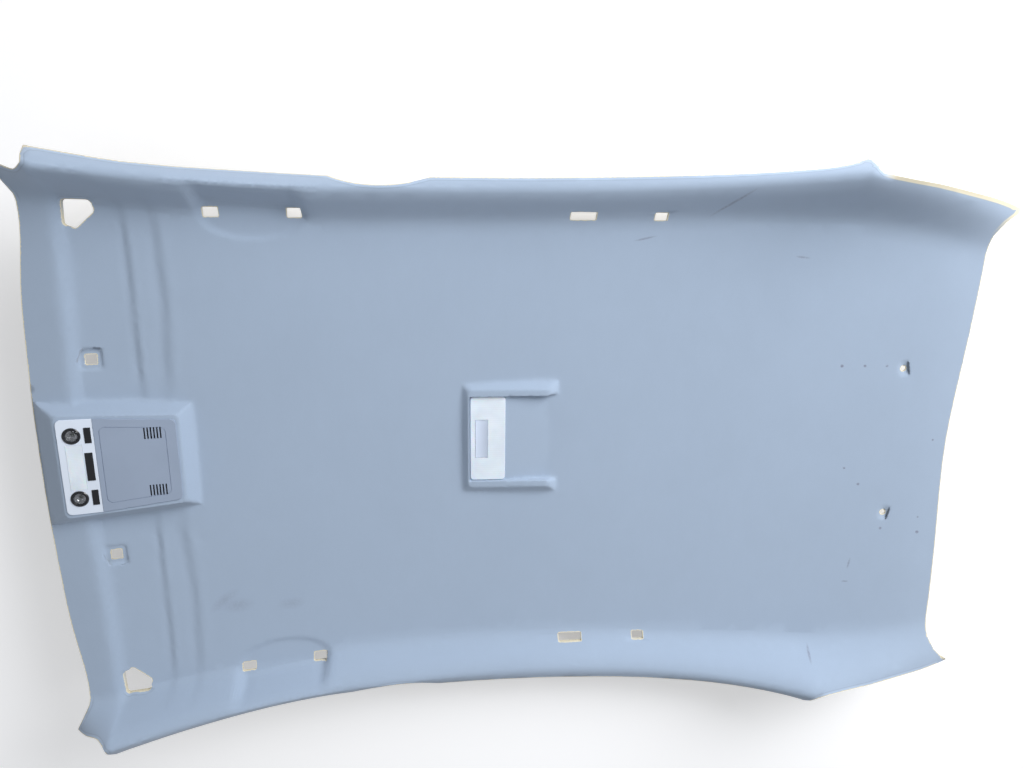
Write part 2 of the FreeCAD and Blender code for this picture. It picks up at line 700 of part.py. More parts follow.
def panel_cutters():
    """Solids that open every hole in the panel."""
    clip = rectangle(CLIP_HOLE_X, CLIP_HOLE_Y, CLIP_HOLE_SIZE, CLIP_HOLE_SIZE)
    cutters = [rounded(prism(clip, -50.0, 400.0), 2.0), rounded(prism(visor_hole(), -50.0, 400.0), 7.0)]
    cutters += [rounded(prism(hole, -50.0, 400.0), 2.0) for hole in handle_holes()]
    cutters.append(rod(STUD_HOLE_X, STUD_HOLE_Y, STUD_HOLE_DIAMETER / 2.0, 0.0, 300.0))
    dimple = roof_height(STUD_HOLE_X, STUD_HOLE_Y)
    flare = STUD_DIMPLE_DIAMETER / 2.0
    cutters.append(Part.makeCone(flare - 4.0, flare + 4.0, 2.0 * STUD_DIMPLE_DEPTH,
                                 Vector(STUD_HOLE_X, STUD_HOLE_Y, dimple - STUD_DIMPLE_DEPTH)))
    cutters.append(clip_recess())
    both = [side for cutter in cutters for side in (cutter, cutter.mirror(Vector(), Vector(0.0, 1.0, 0.0)))]
    both.append(in_console(rounded(console_plate(OPENING_INSET, 0.0, CONSOLE_LENGTH, -20.0, 10.0), 6.0)))
    middle = LAMP_FRONT_X + LAMP_LENGTH / 2.0
    lamp = block(middle, 0.0, LAMP_LENGTH - 2.0 * OPENING_INSET, 2.0 * (LAMP_HALF - OPENING_INSET), -5.0, 30.0)
    return both + [rounded(lamp, 4.0)]


def clip_recess():
    """Shallow leaning-sided tray round the visor clip hole, square to the local slope."""
    half = CLIP_RECESS_LENGTH / 2.0
    reach = 20.0
    place_z = roof_height(CLIP_HOLE_X, CLIP_HOLE_Y)
    drop = roof_height(CLIP_HOLE_X - reach, CLIP_HOLE_Y) - roof_height(CLIP_HOLE_X + reach, CLIP_HOLE_Y)
    corners = [(-half, -half), (half, -half), (half, half), (-half, half)]
    slopes = [(0.8, 0.8), (-0.8, 0.8), (-0.8, -0.8), (0.8, -0.8)]
    tray = frustum(corners, slopes, 2.0, -CLIP_RECESS_DEPTH)
    tilt = math.degrees(math.atan2(drop, 2.0 * reach))
    tray.Placement = Placement(Vector(CLIP_HOLE_X, CLIP_HOLE_Y, place_z), Rotation(Vector(0.0, 1.0, 0.0), tilt))
    return tray


def headliner_shell():
    """Moulded panel with both pods pressed into it and every hole cut."""
    panel = moulded_panel()
    spans = ((FRONT_X - 80.0, FRONT_X + 460.0), (LAMP_FRONT_X - 140.0, LAMP_FRONT_X + 330.0))
    for (outside, inside), span in zip((console_pod(), rear_pod()), spans):
        cap = outside.cut(under_roof(*span)).cut(inside)
        panel = panel.cut(inside).fuse(cap)
    return panel.cut(panel_cutters())


def console_half(u):
    """Half width of the console at one distance along its face."""
    if u < BEZEL_LENGTH:
        return CONSOLE_FRONT_HALF + (CONSOLE_JOINT_HALF - CONSOLE_FRONT_HALF) * u / BEZEL_LENGTH
    t = (u - BEZEL_LENGTH) / (CONSOLE_LENGTH - BEZEL_LENGTH)
    return CONSOLE_JOINT_HALF + (CONSOLE_REAR_HALF - CONSOLE_JOINT_HALF) * t


def console_plate(inset, start, end, low, high):
    """Plate with the console's outline, moved in at the sides and at its outer ends."""
    first, last = max(start, inset), min(end, CONSOLE_LENGTH - inset)
    places = [first] + [BEZEL_LENGTH] * (first < BEZEL_LENGTH < last) + [last]
    lower = [(u, inset - console_half(u)) for u in places]
    return prism(lower + [(u, -y) for u, y in reversed(lower)], low, high)


def console_skirt(start, end):
    """Wall under a console flange that drops into the panel opening."""
    low, high = -FLANGE - SKIRT_DEPTH, -FLANGE
    inner = SKIRT_INSET + CONSOLE_WALL
    outside = console_plate(SKIRT_INSET, start, end, low, high)
    at_joint = BEZEL_LENGTH if start < BEZEL_LENGTH else start
    outside = rounded(outside, 5.4, *((-1.0, at_joint - 1.0) if start < BEZEL_LENGTH else (at_joint + 1.0, 1.0e6)))
    return outside.cut(console_plate(inner, start, end, low - 1.0, high + 1.0))


def console_bezel():
    plate = rounded(console_plate(0.0, 0.0, BEZEL_LENGTH, -FLANGE, 0.0), CONSOLE_CORNER, -1.0, 1.0)
    plate = plate.makeChamfer(0.8, [edge for edge in plate.Edges if top_rim(edge, BEZEL_LENGTH)])
    gap = RUNNING_GAP
    cutters = [block(COURTESY_U, 0.0, COURTESY_LENGTH + 2.0 * SEAT_GAP, 2.0 * (COURTESY_HALF + SEAT_GAP), -9.0, 9.0),
               block(ROCKER_U, 0.0, ROCKER_LENGTH + 2.0 * gap, ROCKER_WIDTH + 2.0 * ROCKER_END_GAP, -9.0, 9.0)]
    for side in (1.0, -1.0):
        cutters.append(rod(LAMP_U, side * LAMP_Y, LAMP_BARREL_DIAMETER / 2.0 + SEAT_GAP, -9.0, 9.0))
        cutters.append(block(BUTTON_U, side * BUTTON_Y, BUTTON_LENGTH + 2.0 * gap, BUTTON_WIDTH + 2.0 * gap, -9.0, 9.0))
    bezel = plate.cut(cutters).fuse(console_skirt(0.0, BEZEL_LENGTH))
    return bezel.fuse(rocker_lugs(ROCKER_U, ROCKER_LENGTH, -FLANGE)).removeSplitter()


def top_rim(edge, joint):
    """Tell an edge on the face of a console plate that is not the edge at its joint."""
    a, b = edge.Vertexes[0].Point, edge.Vertexes[-1].Point
    on_face = abs(a.z) < 0.001 and abs(b.z) < 0.001
    return on_face and not (abs(a.x - joint) < 0.001 and abs(b.x - joint) < 0.001)


def rocker_lugs(middle, length, top):
    """Two lugs with bores that carry a rocker's stub pins."""
    lugs = []
    reach = length / 2.0 + RUNNING_GAP
    for way in (1.0, -1.0):
        start = middle + way * reach
        thick = LUG_THICKNESS * way
        lug = block(start + thick / 2.0, 0.0, LUG_THICKNESS, 3.0 * ROCKER_PIN_DIAMETER, top - LUG_DEPTH, top)
        bore = Part.makeCylinder(ROCKER_PIN_DIAMETER / 2.0 + PIN_GAP, LUG_THICKNESS + 2.0,
                                 Vector(min(start, start + thick) - 1.0, 0.0, top - PIN_DEPTH), Vector(1.0, 0.0, 0.0))
        lugs.append(lug.cut(bore))
    return lugs


def rocker(middle, length, width, top, cap_thickness, foot, plate_underside):
    """Rocking cap with stub pins front and rear and two feet that press its switches."""
    cap = block(middle, 0.0, length, width, top - cap_thickness, top)
    pin_z = plate_underside - PIN_DEPTH
    pin = Part.makeCylinder(ROCKER_PIN_DIAMETER / 2.0, length + 2.0 * (RUNNING_GAP + LUG_THICKNESS) - 0.4,
                            Vector(middle - length / 2.0 - RUNNING_GAP - LUG_THICKNESS + 0.2, 0.0, pin_z),
                            Vector(1.0, 0.0, 0.0))
    web = block(middle, 0.0, length - 2.0, 2.0 * ROCKER_PIN_DIAMETER, pin_z - ROCKER_PIN_DIAMETER, top - cap_thickness + 0.5)
    feet = [rod(middle, side * ROCKER_FOOT_Y, 2.0, foot, top - cap_thickness + 0.5) for side in (1.0, -1.0)]
    return cap, [pin, web] + feet


def centre_rocker():
    cap, rest = rocker(ROCKER_U, ROCKER_LENGTH, ROCKER_WIDTH, BUTTON_PROUD, BUTTON_PROUD + FLANGE,
                       switch_top() + BUTTON_TRAVEL + 0.3, -FLANGE)
    cap = cap.makeChamfer(0.8, [edge for edge in cap.Edges if edge.BoundBox.ZMin > BUTTON_PROUD - 0.01])
    return cap.fuse(rest).removeSplitter()


def switch_top():
    return -BOARD_DEPTH + SWITCH_HEIGHT


def reading_button(side):
    """Push button that slides straight in on its stem."""
    y = side * BUTTON_Y
    cap = block(BUTTON_U, y, BUTTON_LENGTH, BUTTON_WIDTH, -FLANGE - 1.0, BUTTON_PROUD)
    cap = cap.makeChamfer(0.8, [edge for edge in cap.Edges if edge.BoundBox.ZMin > BUTTON_PROUD - 0.01])
    stem = block(BUTTON_U, y, 4.0, 10.0, switch_top() + BUTTON_TRAVEL + 0.3, -FLANGE - 0.5)
    return cap.fuse(stem).removeSplitter()


def turned(profile, u, y):
    """Solid of revolution from (radius, height) points about an upright axis."""
    loop = [Vector(r, 0.0, z) for r, z in profile]
    solid = Part.Face(Part.makePolygon(loop + loop[:1])).revolve(Vector(), Vector(0.0, 0.0, 1.0), 360.0)
    return solid.translate(Vector(u, y, 0.0))


def reading_lamp_ring(side):
    outer, bore, barrel = LAMP_RING_DIAMETER / 2.0, LAMP_RING_BORE / 2.0, LAMP_BARREL_DIAMETER / 2.0
    profile = [(bore, 0.3), (bore + 1.4, LAMP_RING_HEIGHT), (outer - 1.6, LAMP_RING_HEIGHT), (outer, 0.4), (outer, 0.0),
               (barrel, 0.0), (barrel, -LAMP_BARREL_DEPTH), (barrel - 1.5, -LAMP_BARREL_DEPTH), (barrel - 1.5, -0.4),
               (bore, -0.4)]
    return turned(profile, LAMP_U, side * LAMP_Y)


def reading_lamp_lens(side):
    rim = LAMP_BARREL_DIAMETER / 2.0 - 1.5 - SEAT_GAP
    bore = LAMP_RING_BORE / 2.0 - SEAT_GAP
    profile = [(0.0, -2.1), (rim, -2.1), (rim, -0.7), (bore, -0.7), (bore * 0.8, 0.2), (bore * 0.45, 0.9), (0.0, 1.2)]
    return turned(profile, LAMP_U, side * LAMP_Y)


def reading_lamp_reflector(side):
    rim = LAMP_BARREL_DIAMETER / 2.0 - 1.5 - SEAT_GAP
    neck = BULB_DIAMETER / 2.0 + SEAT_GAP
    top, low, wall = -2.4, -2.4 - REFLECTOR_DEPTH, REFLECTOR_WALL
    profile = [(rim, top), (rim * 0.93, top - 4.0), (rim * 0.72, top - 8.5), (neck + wall, low), (neck, low),
               (rim * 0.72 - wall, top - 8.0), (rim * 0.93 - wall, top - 4.0), (rim - wall, top)]
    return turned(profile, LAMP_U, side * LAMP_Y)


def reading_lamp_bulb(side):
    r = BULB_DIAMETER / 2.0
    low = -BOARD_DEPTH
    tip = low + BULB_LENGTH + 3.5
    profile = [(0.0, low), (r, low), (r, tip - 2.2), (r * 0.85, tip - 1.0), (r * 0.5, tip - 0.25), (0.0, tip)]
    return turned(profile, LAMP_U, side * LAMP_Y)


def courtesy_lens():
    plate = block(COURTESY_U, 0.0, COURTESY_LENGTH, 2.0 * COURTESY_HALF, -FLANGE, 0.6)
    skirt = block(COURTESY_U, 0.0, COURTESY_LENGTH - 1.0, 2.0 * COURTESY_HALF - 1.0, -FLANGE - 3.0, -FLANGE)
    hollow = block(COURTESY_U, 0.0, COURTESY_LENGTH - 5.0, 2.0 * COURTESY_HALF - 5.0, -FLANGE - 4.0, -1.6)
    return plate.fuse(skirt).cut(hollow).removeSplitter()


def festoon_bulb(x, low_to_axis):
    """Tubular bulb with a pointed cap at each end, lying across the panel."""
    half, r = FESTOON_LENGTH / 2.0, FESTOON_DIAMETER / 2.0
    profile = [(0.0, -half - 6.0), (2.4, -half - 3.0), (3.6, -half - 1.5), (3.6, -half), (r, -half + 3.0), (r, half - 3.0),
               (3.6, half), (3.6, half + 1.5), (2.4, half + 3.0), (0.0, half + 6.0)]
    solid = turned(profile, 0.0, 0.0)
    solid.Placement = Placement(Vector(x, 0.0, low_to_axis), Rotation(Vector(1.0, 0.0, 0.0), 90.0))
    return solid


def bulb_contact(x, side, axis, floor):
    """Spring blade with a forked top that grips one cap of the tubular bulb."""
    y = side * (FESTOON_LENGTH / 2.0 + 4.4)
    blade = block(x, y, 7.0, 0.8, floor, axis + 3.0)
    return blade.cut(Part.makeCylinder(1.6, 4.0, Vector(x, y - 2.0, axis), Vector(0.0, 1.0, 0.0)))


def courtesy_bulb():
    return festoon_bulb(COURTESY_U, COURTESY_AXIS)


def courtesy_contact(side):
    return bulb_contact(COURTESY_U, side, COURTESY_AXIS, -BOARD_DEPTH)


def board_switch(u, y):
    body = block(u, y, SWITCH_SIZE, SWITCH_SIZE, -BOARD_DEPTH, switch_top() - 1.5)
    return body.fuse(rod(u, y, 1.7, switch_top() - 1.6, switch_top())).removeSplitter()


def console_cover():
    start = BEZEL_LENGTH + 0.6
    plate = rounded(console_plate(0.0, start, CONSOLE_LENGTH, -FLANGE, 0.0), CONSOLE_CORNER,
                    CONSOLE_LENGTH - 1.0, CONSOLE_LENGTH + 1.0)
    plate = plate.makeChamfer(0.8, [edge for edge in plate.Edges if top_rim(edge, start)])
    first, last = start + COVER_PANEL_FRONT, CONSOLE_LENGTH - COVER_PANEL_REAR
    panel = [(first, COVER_PANEL_SIDE - console_half(first)), (last, COVER_PANEL_SIDE - console_half(last))]
    loop = panel + [(u, -y) for u, y in reversed(panel)]
    groove = rounded(prism(loop, -1.0, 1.0), 12.0)
    moved = [(first + COVER_GROOVE, panel[0][1] + COVER_GROOVE), (last - COVER_GROOVE, panel[1][1] + COVER_GROOVE)]
    island = rounded(prism(moved + [(u, -y) for u, y in reversed(moved)], -2.0, 2.0), 12.0 - COVER_GROOVE)
    slots = []
    for k in range(SLOT_COUNT):
        u = SLOT_U + (k - (SLOT_COUNT - 1) / 2.0) * SLOT_PITCH
        slots += [block(u, side * SLOT_Y, SLOT_WIDTH, SLOT_LENGTH, -9.0, 9.0) for side in (1.0, -1.0)]
    return plate.cut(groove.cut(island)).cut(slots).fuse(console_skirt(start, CONSOLE_LENGTH)).removeSplitter()


def microphone(side):
    y = side * SLOT_Y
    case = block(SLOT_U, y, MICROPHONE_LENGTH, MICROPHONE_WIDTH, -12.0, -FLANGE - SEAT_GAP)
    return case.cut(rod(SLOT_U, y, MICROPHONE_WIDTH / 2.0 - 3.0, -8.0, 0.0)).fuse(
        rod(SLOT_U, y, MICROPHONE_WIDTH / 2.0 - 7.0, -8.0, -4.5)).removeSplitter()


def console_housing():
    """Tray behind the console that carries the board on four posts."""
    low, high = -CONSOLE_DEPTH, -FLANGE - SEAT_GAP
    outer = console_plate(HOUSING_INSET, 0.0, CONSOLE_LENGTH, low, high)
    room = console_plate(HOUSING_INSET + CONSOLE_WALL, 0.0, CONSOLE_LENGTH, low + CONSOLE_WALL, high + 1.0)
    tray = rounded(outer, 5.0).cut(room)
    tray = tray.cut(block(SOCKET_U, 0.0, SOCKET_LENGTH + 1.0, SOCKET_WIDTH + 1.0, low - 1.0, low + CONSOLE_WALL + 1.0))
    posts = [rod(u, side * y, 3.0, low + CONSOLE_WALL, -BOARD_DEPTH - BOARD_THICKNESS)
             for u, y in board_posts() for side in (1.0, -1.0)]
    return tray.fuse(posts).removeSplitter()


def board_posts():
    return [(HOUSING_INSET + 10.0, CONSOLE_FRONT_HALF - HOUSING_INSET - 12.0),
            (CONSOLE_LENGTH - HOUSING_INSET - 10.0, CONSOLE_REAR_HALF - HOUSING_INSET - 12.0)]


def circuit_board():
    return console_plate(HOUSING_INSET + CONSOLE_WALL + 1.0, 0.0, CONSOLE_LENGTH, -BOARD_DEPTH - BOARD_THICKNESS, -BOARD_DEPTH)


def connector_socket():
    top = -BOARD_DEPTH - BOARD_THICKNESS
    low = -CONSOLE_DEPTH - 5.0
    body = block(SOCKET_U, 0.0, SOCKET_LENGTH, SOCKET_WIDTH, low, top)
    return body.cut(block(SOCKET_U, 0.0, SOCKET_LENGTH - 3.0, SOCKET_WIDTH - 3.0, low - 1.0, top - 2.0))


def spring_clip(x, y, way, top, length):
    """Sheet clip on the outside of a housing wall, with a barb that catches behind the panel."""
    t = CLIP_SHEET
    low = top - length
    profile = [(0.0, top), (t, top), (t, low + 5.0), (CLIP_BARB, low + 3.5), (CLIP_BARB, low + 2.5), (t, low), (0.0, low)]
    loop = [Vector(x - CLIP_WIDTH / 2.0, y + way * a, z) for a, z in profile]
    return Part.Face(Part.makePolygon(loop + loop[:1])).extrude(Vector(CLIP_WIDTH, 0.0, 0.0))


def console_clip(u, side):
    y = console_half(u + CLIP_WIDTH / 2.0) - HOUSING_INSET
    lean = math.degrees(math.atan2(console_half(u - 7.0) - console_half(u + 7.0), 14.0))
    clip = spring_clip(0.0, SEAT_GAP, 1.0, -FLANGE - SKIRT_DEPTH - 1.0, 14.0)
    clip.rotate(Vector(), Vector(0.0, 0.0, 1.0), -lean)
    clip.translate(Vector(u, console_half(u) - HOUSING_INSET, 0.0))
    return clip if side > 0.0 else clip.mirror(Vector(), Vector(0.0, 1.0, 0.0))


def lamp_plate(inset, low, high, radius):
    middle = LAMP_FRONT_X + LAMP_LENGTH / 2.0
    plate = block(middle, 0.0, LAMP_LENGTH - 2.0 * inset, 2.0 * (LAMP_HALF - inset), low, high)
    return rounded(plate, radius)


def rear_lamp_lens():
    top, low = LAMP_FACE_Z, LAMP_FACE_Z - FLANGE
    plate = lamp_plate(0.0, low, top, LAMP_CORNER)
    plate = plate.makeChamfer(0.8, [edge for edge in plate.Edges if edge.BoundBox.ZMin > top - 0.01])
    gap = RUNNING_GAP
    plate = plate.cut(block(SCOOP_X, 0.0, SCOOP_LENGTH + 2.0 * gap, SCOOP_WIDTH + 2.0 * ROCKER_END_GAP, low - 1.0, top + 1.0))
    skirt = lamp_plate(SKIRT_INSET, low - 4.0, low, 3.5).cut(lamp_plate(SKIRT_INSET + LAMP_WALL, low - 5.0, low + 1.0, 1.7))
    return plate.fuse(skirt).fuse(rocker_lugs(SCOOP_X, SCOOP_LENGTH, low)).removeSplitter()


def rear_lamp_button():
    """Rocking switch plate scooped out along its length."""
    low = LAMP_FACE_Z - FLANGE
    cap, rest = rocker(SCOOP_X, SCOOP_LENGTH, SCOOP_WIDTH, LAMP_FACE_Z + 0.8, FLANGE + 2.4,
                       rear_switch_top() + 2.0, low)
    radius = (SCOOP_LENGTH ** 2 / 4.0 + SCOOP_SAG ** 2) / (2.0 * SCOOP_SAG)
    reach = SCOOP_WIDTH + 2.0
    scoop = Part.makeCylinder(radius, reach, Vector(SCOOP_X, -reach / 2.0, LAMP_FACE_Z + 0.8 - SCOOP_SAG + radius),
                              Vector(0.0, 1.0, 0.0))
    return cap.fuse(rest).cut(scoop).removeSplitter()


def rear_floor():
    return LAMP_FACE_Z - LAMP_DEPTH


def rear_switch_top():
    return rear_floor() + LAMP_WALL + SWITCH_HEIGHT


def rear_lamp_housing():
    low, high = rear_floor(), LAMP_FACE_Z - FLANGE - SEAT_GAP
    tray = lamp_plate(HOUSING_INSET, low, high, 4.0)
    tray = tray.cut(lamp_plate(HOUSING_INSET + LAMP_WALL, low + LAMP_WALL, high + 1.0, 2.2))
    notch = 3.0 * ROCKER_PIN_DIAMETER + 1.5
    return tray.cut(block(LAMP_FRONT_X + HOUSING_INSET, 0.0, 4.0, notch, LAMP_FACE_Z - FLANGE - LUG_DEPTH - 0.5, high + 1.0))


def rear_lamp_bulb():
    return festoon_bulb(REAR_BULB_X, rear_floor() + REAR_BULB_HEIGHT)


def rear_lamp_contact(side):
    return bulb_contact(REAR_BULB_X, side, rear_floor() + REAR_BULB_HEIGHT, rear_floor() + LAMP_WALL)


def rear_switch(side):
    floor = rear_floor() + LAMP_WALL
    body = block(SCOOP_X, side * ROCKER_FOOT_Y, SWITCH_SIZE, SWITCH_SIZE, floor, rear_switch_top() - 1.0)
    return body.fuse(rod(SCOOP_X, side * ROCKER_FOOT_Y, 1.7, rear_switch_top() - 1.1, rear_switch_top())).removeSplitter()


def rear_clip(side):
    middle = LAMP_FRONT_X + LAMP_LENGTH / 2.0
    y = LAMP_HALF - HOUSING_INSET + SEAT_GAP
    clip = spring_clip(middle, y, 1.0, LAMP_FACE_Z - FLANGE - 5.0, 10.5)
    return clip if side > 0.0 else clip.mirror(Vector(), Vector(0.0, 1.0, 0.0))


def console_nodes():
    nodes = {
        "console_bezel": console_bezel(), "courtesy_lens": courtesy_lens(), "courtesy_bulb": courtesy_bulb(),
        "centre_rocker": centre_rocker(), "console_cover": console_cover(), "console_housing": console_housing(),
        "circuit_board": circuit_board(), "connector_socket": connector_socket(),
    }
    for name, side in (("left", -1.0), ("right", 1.0)):
        nodes["reading_lamp_ring_" + name] = reading_lamp_ring(side)
        nodes["reading_lamp_lens_" + name] = reading_lamp_lens(side)
        nodes["reading_lamp_reflector_" + name] = reading_lamp_reflector(side)
        nodes["reading_lamp_bulb_" + name] = reading_lamp_bulb(side)
        nodes["reading_button_" + name] = reading_button(side)
        nodes["courtesy_contact_" + name] = courtesy_contact(side)
        nodes["reading_switch_" + name] = board_switch(BUTTON_U, side * BUTTON_Y)
        nodes["rocker_switch_" + name] = board_switch(ROCKER_U, side * ROCKER_FOOT_Y)
        nodes["microphone_" + name] = microphone(side)
        nodes["front_clip_" + name] = console_clip(CLIP_FRONT_U, side)
        nodes["rear_clip_" + name] = console_clip(CLIP_REAR_U, side)
    return {name: in_console(shape) for name, shape in nodes.items()}


def rear_lamp_nodes():
    nodes = {"rear_lamp_lens": rear_lamp_lens(), "rear_lamp_button": rear_lamp_button(),
             "rear_lamp_housing": rear_lamp_housing(), "rear_lamp_bulb": rear_lamp_bulb()}
    for name, side in (("left", -1.0), ("right", 1.0)):
        nodes["rear_lamp_contact_" + name] = rear_lamp_contact(side)
        nodes["rear_lamp_switch_" + name] = rear_switch(side)
        nodes["rear_lamp_clip_" + name] = rear_clip(side)
    return nodes


def main():
    os.makedirs("parts", exist_ok=True)
    nodes = {"headliner_shell": headliner_shell()}
    nodes.update(console_nodes())
    nodes.update(rear_lamp_nodes())
    for name, shape in nodes.items():
        shape.exportStep("parts/" + name + ".step")


main()
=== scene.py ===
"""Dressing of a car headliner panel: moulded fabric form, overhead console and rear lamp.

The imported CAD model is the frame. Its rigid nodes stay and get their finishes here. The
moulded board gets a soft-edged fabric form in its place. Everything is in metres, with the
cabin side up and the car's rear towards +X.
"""
import math

import bmesh
import bpy
from mathutils import Matrix, Vector
from mathutils.kdtree import KDTree


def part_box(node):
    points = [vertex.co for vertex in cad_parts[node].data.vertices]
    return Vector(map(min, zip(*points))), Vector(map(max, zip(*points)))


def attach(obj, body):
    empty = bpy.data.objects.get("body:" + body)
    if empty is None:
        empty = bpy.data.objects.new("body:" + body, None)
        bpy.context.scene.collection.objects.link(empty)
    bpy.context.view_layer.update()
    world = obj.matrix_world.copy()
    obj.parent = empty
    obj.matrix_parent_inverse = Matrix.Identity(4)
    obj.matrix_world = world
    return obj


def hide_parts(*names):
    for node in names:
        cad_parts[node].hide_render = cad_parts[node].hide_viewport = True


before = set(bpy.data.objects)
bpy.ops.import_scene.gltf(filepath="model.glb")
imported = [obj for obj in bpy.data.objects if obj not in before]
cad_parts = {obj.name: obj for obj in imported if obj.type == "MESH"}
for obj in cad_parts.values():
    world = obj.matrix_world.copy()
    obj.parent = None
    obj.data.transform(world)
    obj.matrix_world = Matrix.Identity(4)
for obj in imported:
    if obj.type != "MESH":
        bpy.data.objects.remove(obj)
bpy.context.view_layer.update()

bl_info = {
    "name": "Headliner Trim",
    "version": (1, 0, 0),
    "blender": (4, 5, 0),
    "location": "3D View > Sidebar > Headliner",
    "description": "Dresses a car headliner panel with its fabric, console and lamp finishes",
    "category": "Object",
}

PANEL_LOW, PANEL_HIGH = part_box("headliner_shell")

# The console's face lies in a plane pitched about the car's cross axis.
ROCKER_LOW, ROCKER_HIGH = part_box("centre_rocker")
CONSOLE_PITCH = math.radians(11.25)

# Marks of use on the fabric, as plan points in metres: where each starts and ends, and
# its width.
SCRATCHES = [
    ((0.3895, 0.5085), (0.4667, 0.5731), 0.004),
    ((0.2322, 0.4554), (0.2818, 0.4666), 0.003),
    ((0.5885, 0.4256), (0.6188, 0.4226), 0.003),
    ((0.7923, -0.2976), (0.7874, -0.3236), 0.003),
    ((0.7783, -0.3577), (0.7898, -0.3569), 0.003),
    ((0.7008, -0.5190), (0.6968, -0.5467), 0.004),
]
STAINS = [
    ((-0.7085, -0.3660), (-0.6668, -0.3356), 0.016),
    ((-0.6800, -0.3652), (-0.6400, -0.3652), 0.020),
    ((-0.5600, -0.3757), (-0.5250, -0.3757), 0.016),
]
SPOTS = [
    ((0.7233, 0.1775), 0.0045), ((0.7730, 0.1792), 0.0040), ((0.8198, 0.1811), 0.0035),
    ((0.7931, -0.1091), 0.0040), ((0.7577, -0.0708), 0.0035), ((0.8532, -0.2167), 0.0040),
    ((0.9358, -0.2209), 0.0045), ((0.9340, -0.1831), 0.0030), ((0.9429, 0.0089), 0.0030),
]

# Sides of the board, by the number of their material.
CABIN, EDGE, BACK = 0, 1, 2
STEEPEST_CLOTH = 0.25
POD_OPENING_LEAST = 0.075
POD_OPENING_MOST = 0.16

# Places on the board, in plan. The header is the board's front edge.
HEADER_X = PANEL_LOW[0]
BEZEL_LOW, BEZEL_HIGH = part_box("console_bezel")
COVER_LOW, COVER_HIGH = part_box("console_cover")
LENS_LOW, LENS_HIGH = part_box("rear_lamp_lens")
CLIP_PLACE = (-0.9015, 0.2185)
STUD_PLACE = (0.856, 0.1765)
POCKET_PLACE = (-0.562, 0.5085)
POCKET_HALF_LENGTH = 0.110
POCKET_REACH = 0.053
WALL_FOOT = 0.50
NO_LENGTH = 0.00005
SHORTEST_SPLIT = 0.0075
SPLIT_ROUNDS = 7
SMOOTH_SHARE = 0.5
# How far in from the side edges the painted fold shade runs; the painted highlight fills the strip
# outside it.
FOLD_SHADE_REACH = 0.0072
BORDER_STEP = 0.004

# The photograph's camera: where it stands, its axes and its focal length in pixels.
CAMERA_PLACE = Vector((-0.1696, 0.5900, 1.7324))
CAMERA_RIGHT = Vector((0.9969, 0.0104, 0.0785))
CAMERA_UP = Vector((0.0102, 0.9661, -0.2579))
PHOTO_WIDTH = 1024
FOCAL_PIXELS = 780.0
SENSOR_WIDTH = 36.0


def screen_colour(red, green, blue):
    """A colour as a screen shows it, from 0 to 255, in Blender's linear values."""
    parts = []
    for value in (red, green, blue):
        share = value / 255.0
        parts.append(share / 12.92 if share <= 0.04045 else ((share + 0.055) / 1.055) ** 2.4)
    return tuple(parts)


def colour_setting(name, description, red, green, blue):
    """A colour that the sidebar shows."""
    return bpy.props.FloatVectorProperty(
        name=name, description=description, subtype="COLOR", size=3, min=0.0, max=1.0,
        default=screen_colour(red, green, blue))


def length_setting(name, description, default):
    """A length in metres that the sidebar shows."""
    return bpy.props.FloatProperty(
        name=name, description=description, default=default, min=0.0, unit="LENGTH")


def share_setting(name, description, default):
    """A share from nothing to all of it."""
    return bpy.props.FloatProperty(
        name=name, description=description, default=default, min=0.0, max=1.0,
        subtype="FACTOR")


class FabricSettings(bpy.types.PropertyGroup):
    """Colours and folds of the moulded fabric form."""

    cloth: colour_setting("Cloth", "Needled cloth on the cabin side", 163, 180, 202)
    cut_edge: colour_setting("Cut edge", "Foam and glue at trimmed edges", 222, 214, 190)
    back: colour_setting("Back", "Bare board behind the cloth", 196, 184, 156)
    scuff: colour_setting("Scuff", "Scratches and spots on the cloth", 104, 98, 118)
    grain: length_setting("Grain", "Size of the cloth's needled tufts", 0.0011)
    groove_depth: length_setting("Groove", "Depth of the crease in the visor zone", 0.0011)
    fold_depth: length_setting("Fold", "Depth of the fold behind the visor zone", 0.0009)
    pocket_depth: length_setting("Pocket", "Depth of the front handle pockets", 0.0042)
    softness: bpy.props.IntProperty(
        name="Softness", description="Smoothing passes over the pods' folds", default=4, min=0)
    mark_strength: share_setting("Mark strength", "How dark the marks of use are", 0.45)


class PlasticSettings(bpy.types.PropertyGroup):
    """Colours of the moulded plastic pieces."""

    bezel: colour_setting("Bezel", "Light front part of the console", 226, 236, 251)
    cover: colour_setting("Cover", "Console cover behind the bezel", 152, 166, 188)
    black: colour_setting("Black", "Buttons, rings and housings", 24, 26, 32)
    lens: colour_setting("Lens", "Frosted lamp lenses", 230, 240, 252)
    button: colour_setting("Button", "Rocker of the rear lamp", 206, 218, 238)
    grain: length_setting("Grain", "Size of the moulded surface grain", 0.0006)


class StageSettings(bpy.types.PropertyGroup):
    """The floor and the lamps."""

    floor: colour_setting("Floor", "Pale floor under the panel", 236, 237, 240)
    sky: bpy.props.FloatProperty(
        name="Sky", description="Strength of the even light", default=0.38, min=0.0)
    key_power: bpy.props.FloatProperty(
        name="Key lamp", description="Power of the main lamp", default=125.0, min=0.0,
        unit="POWER")
    fill_power: bpy.props.FloatProperty(
        name="Fill lamp", description="Power of the second lamp", default=6.0, min=0.0,
        unit="POWER")


# --- Materials -------------------------------------------------------------------------

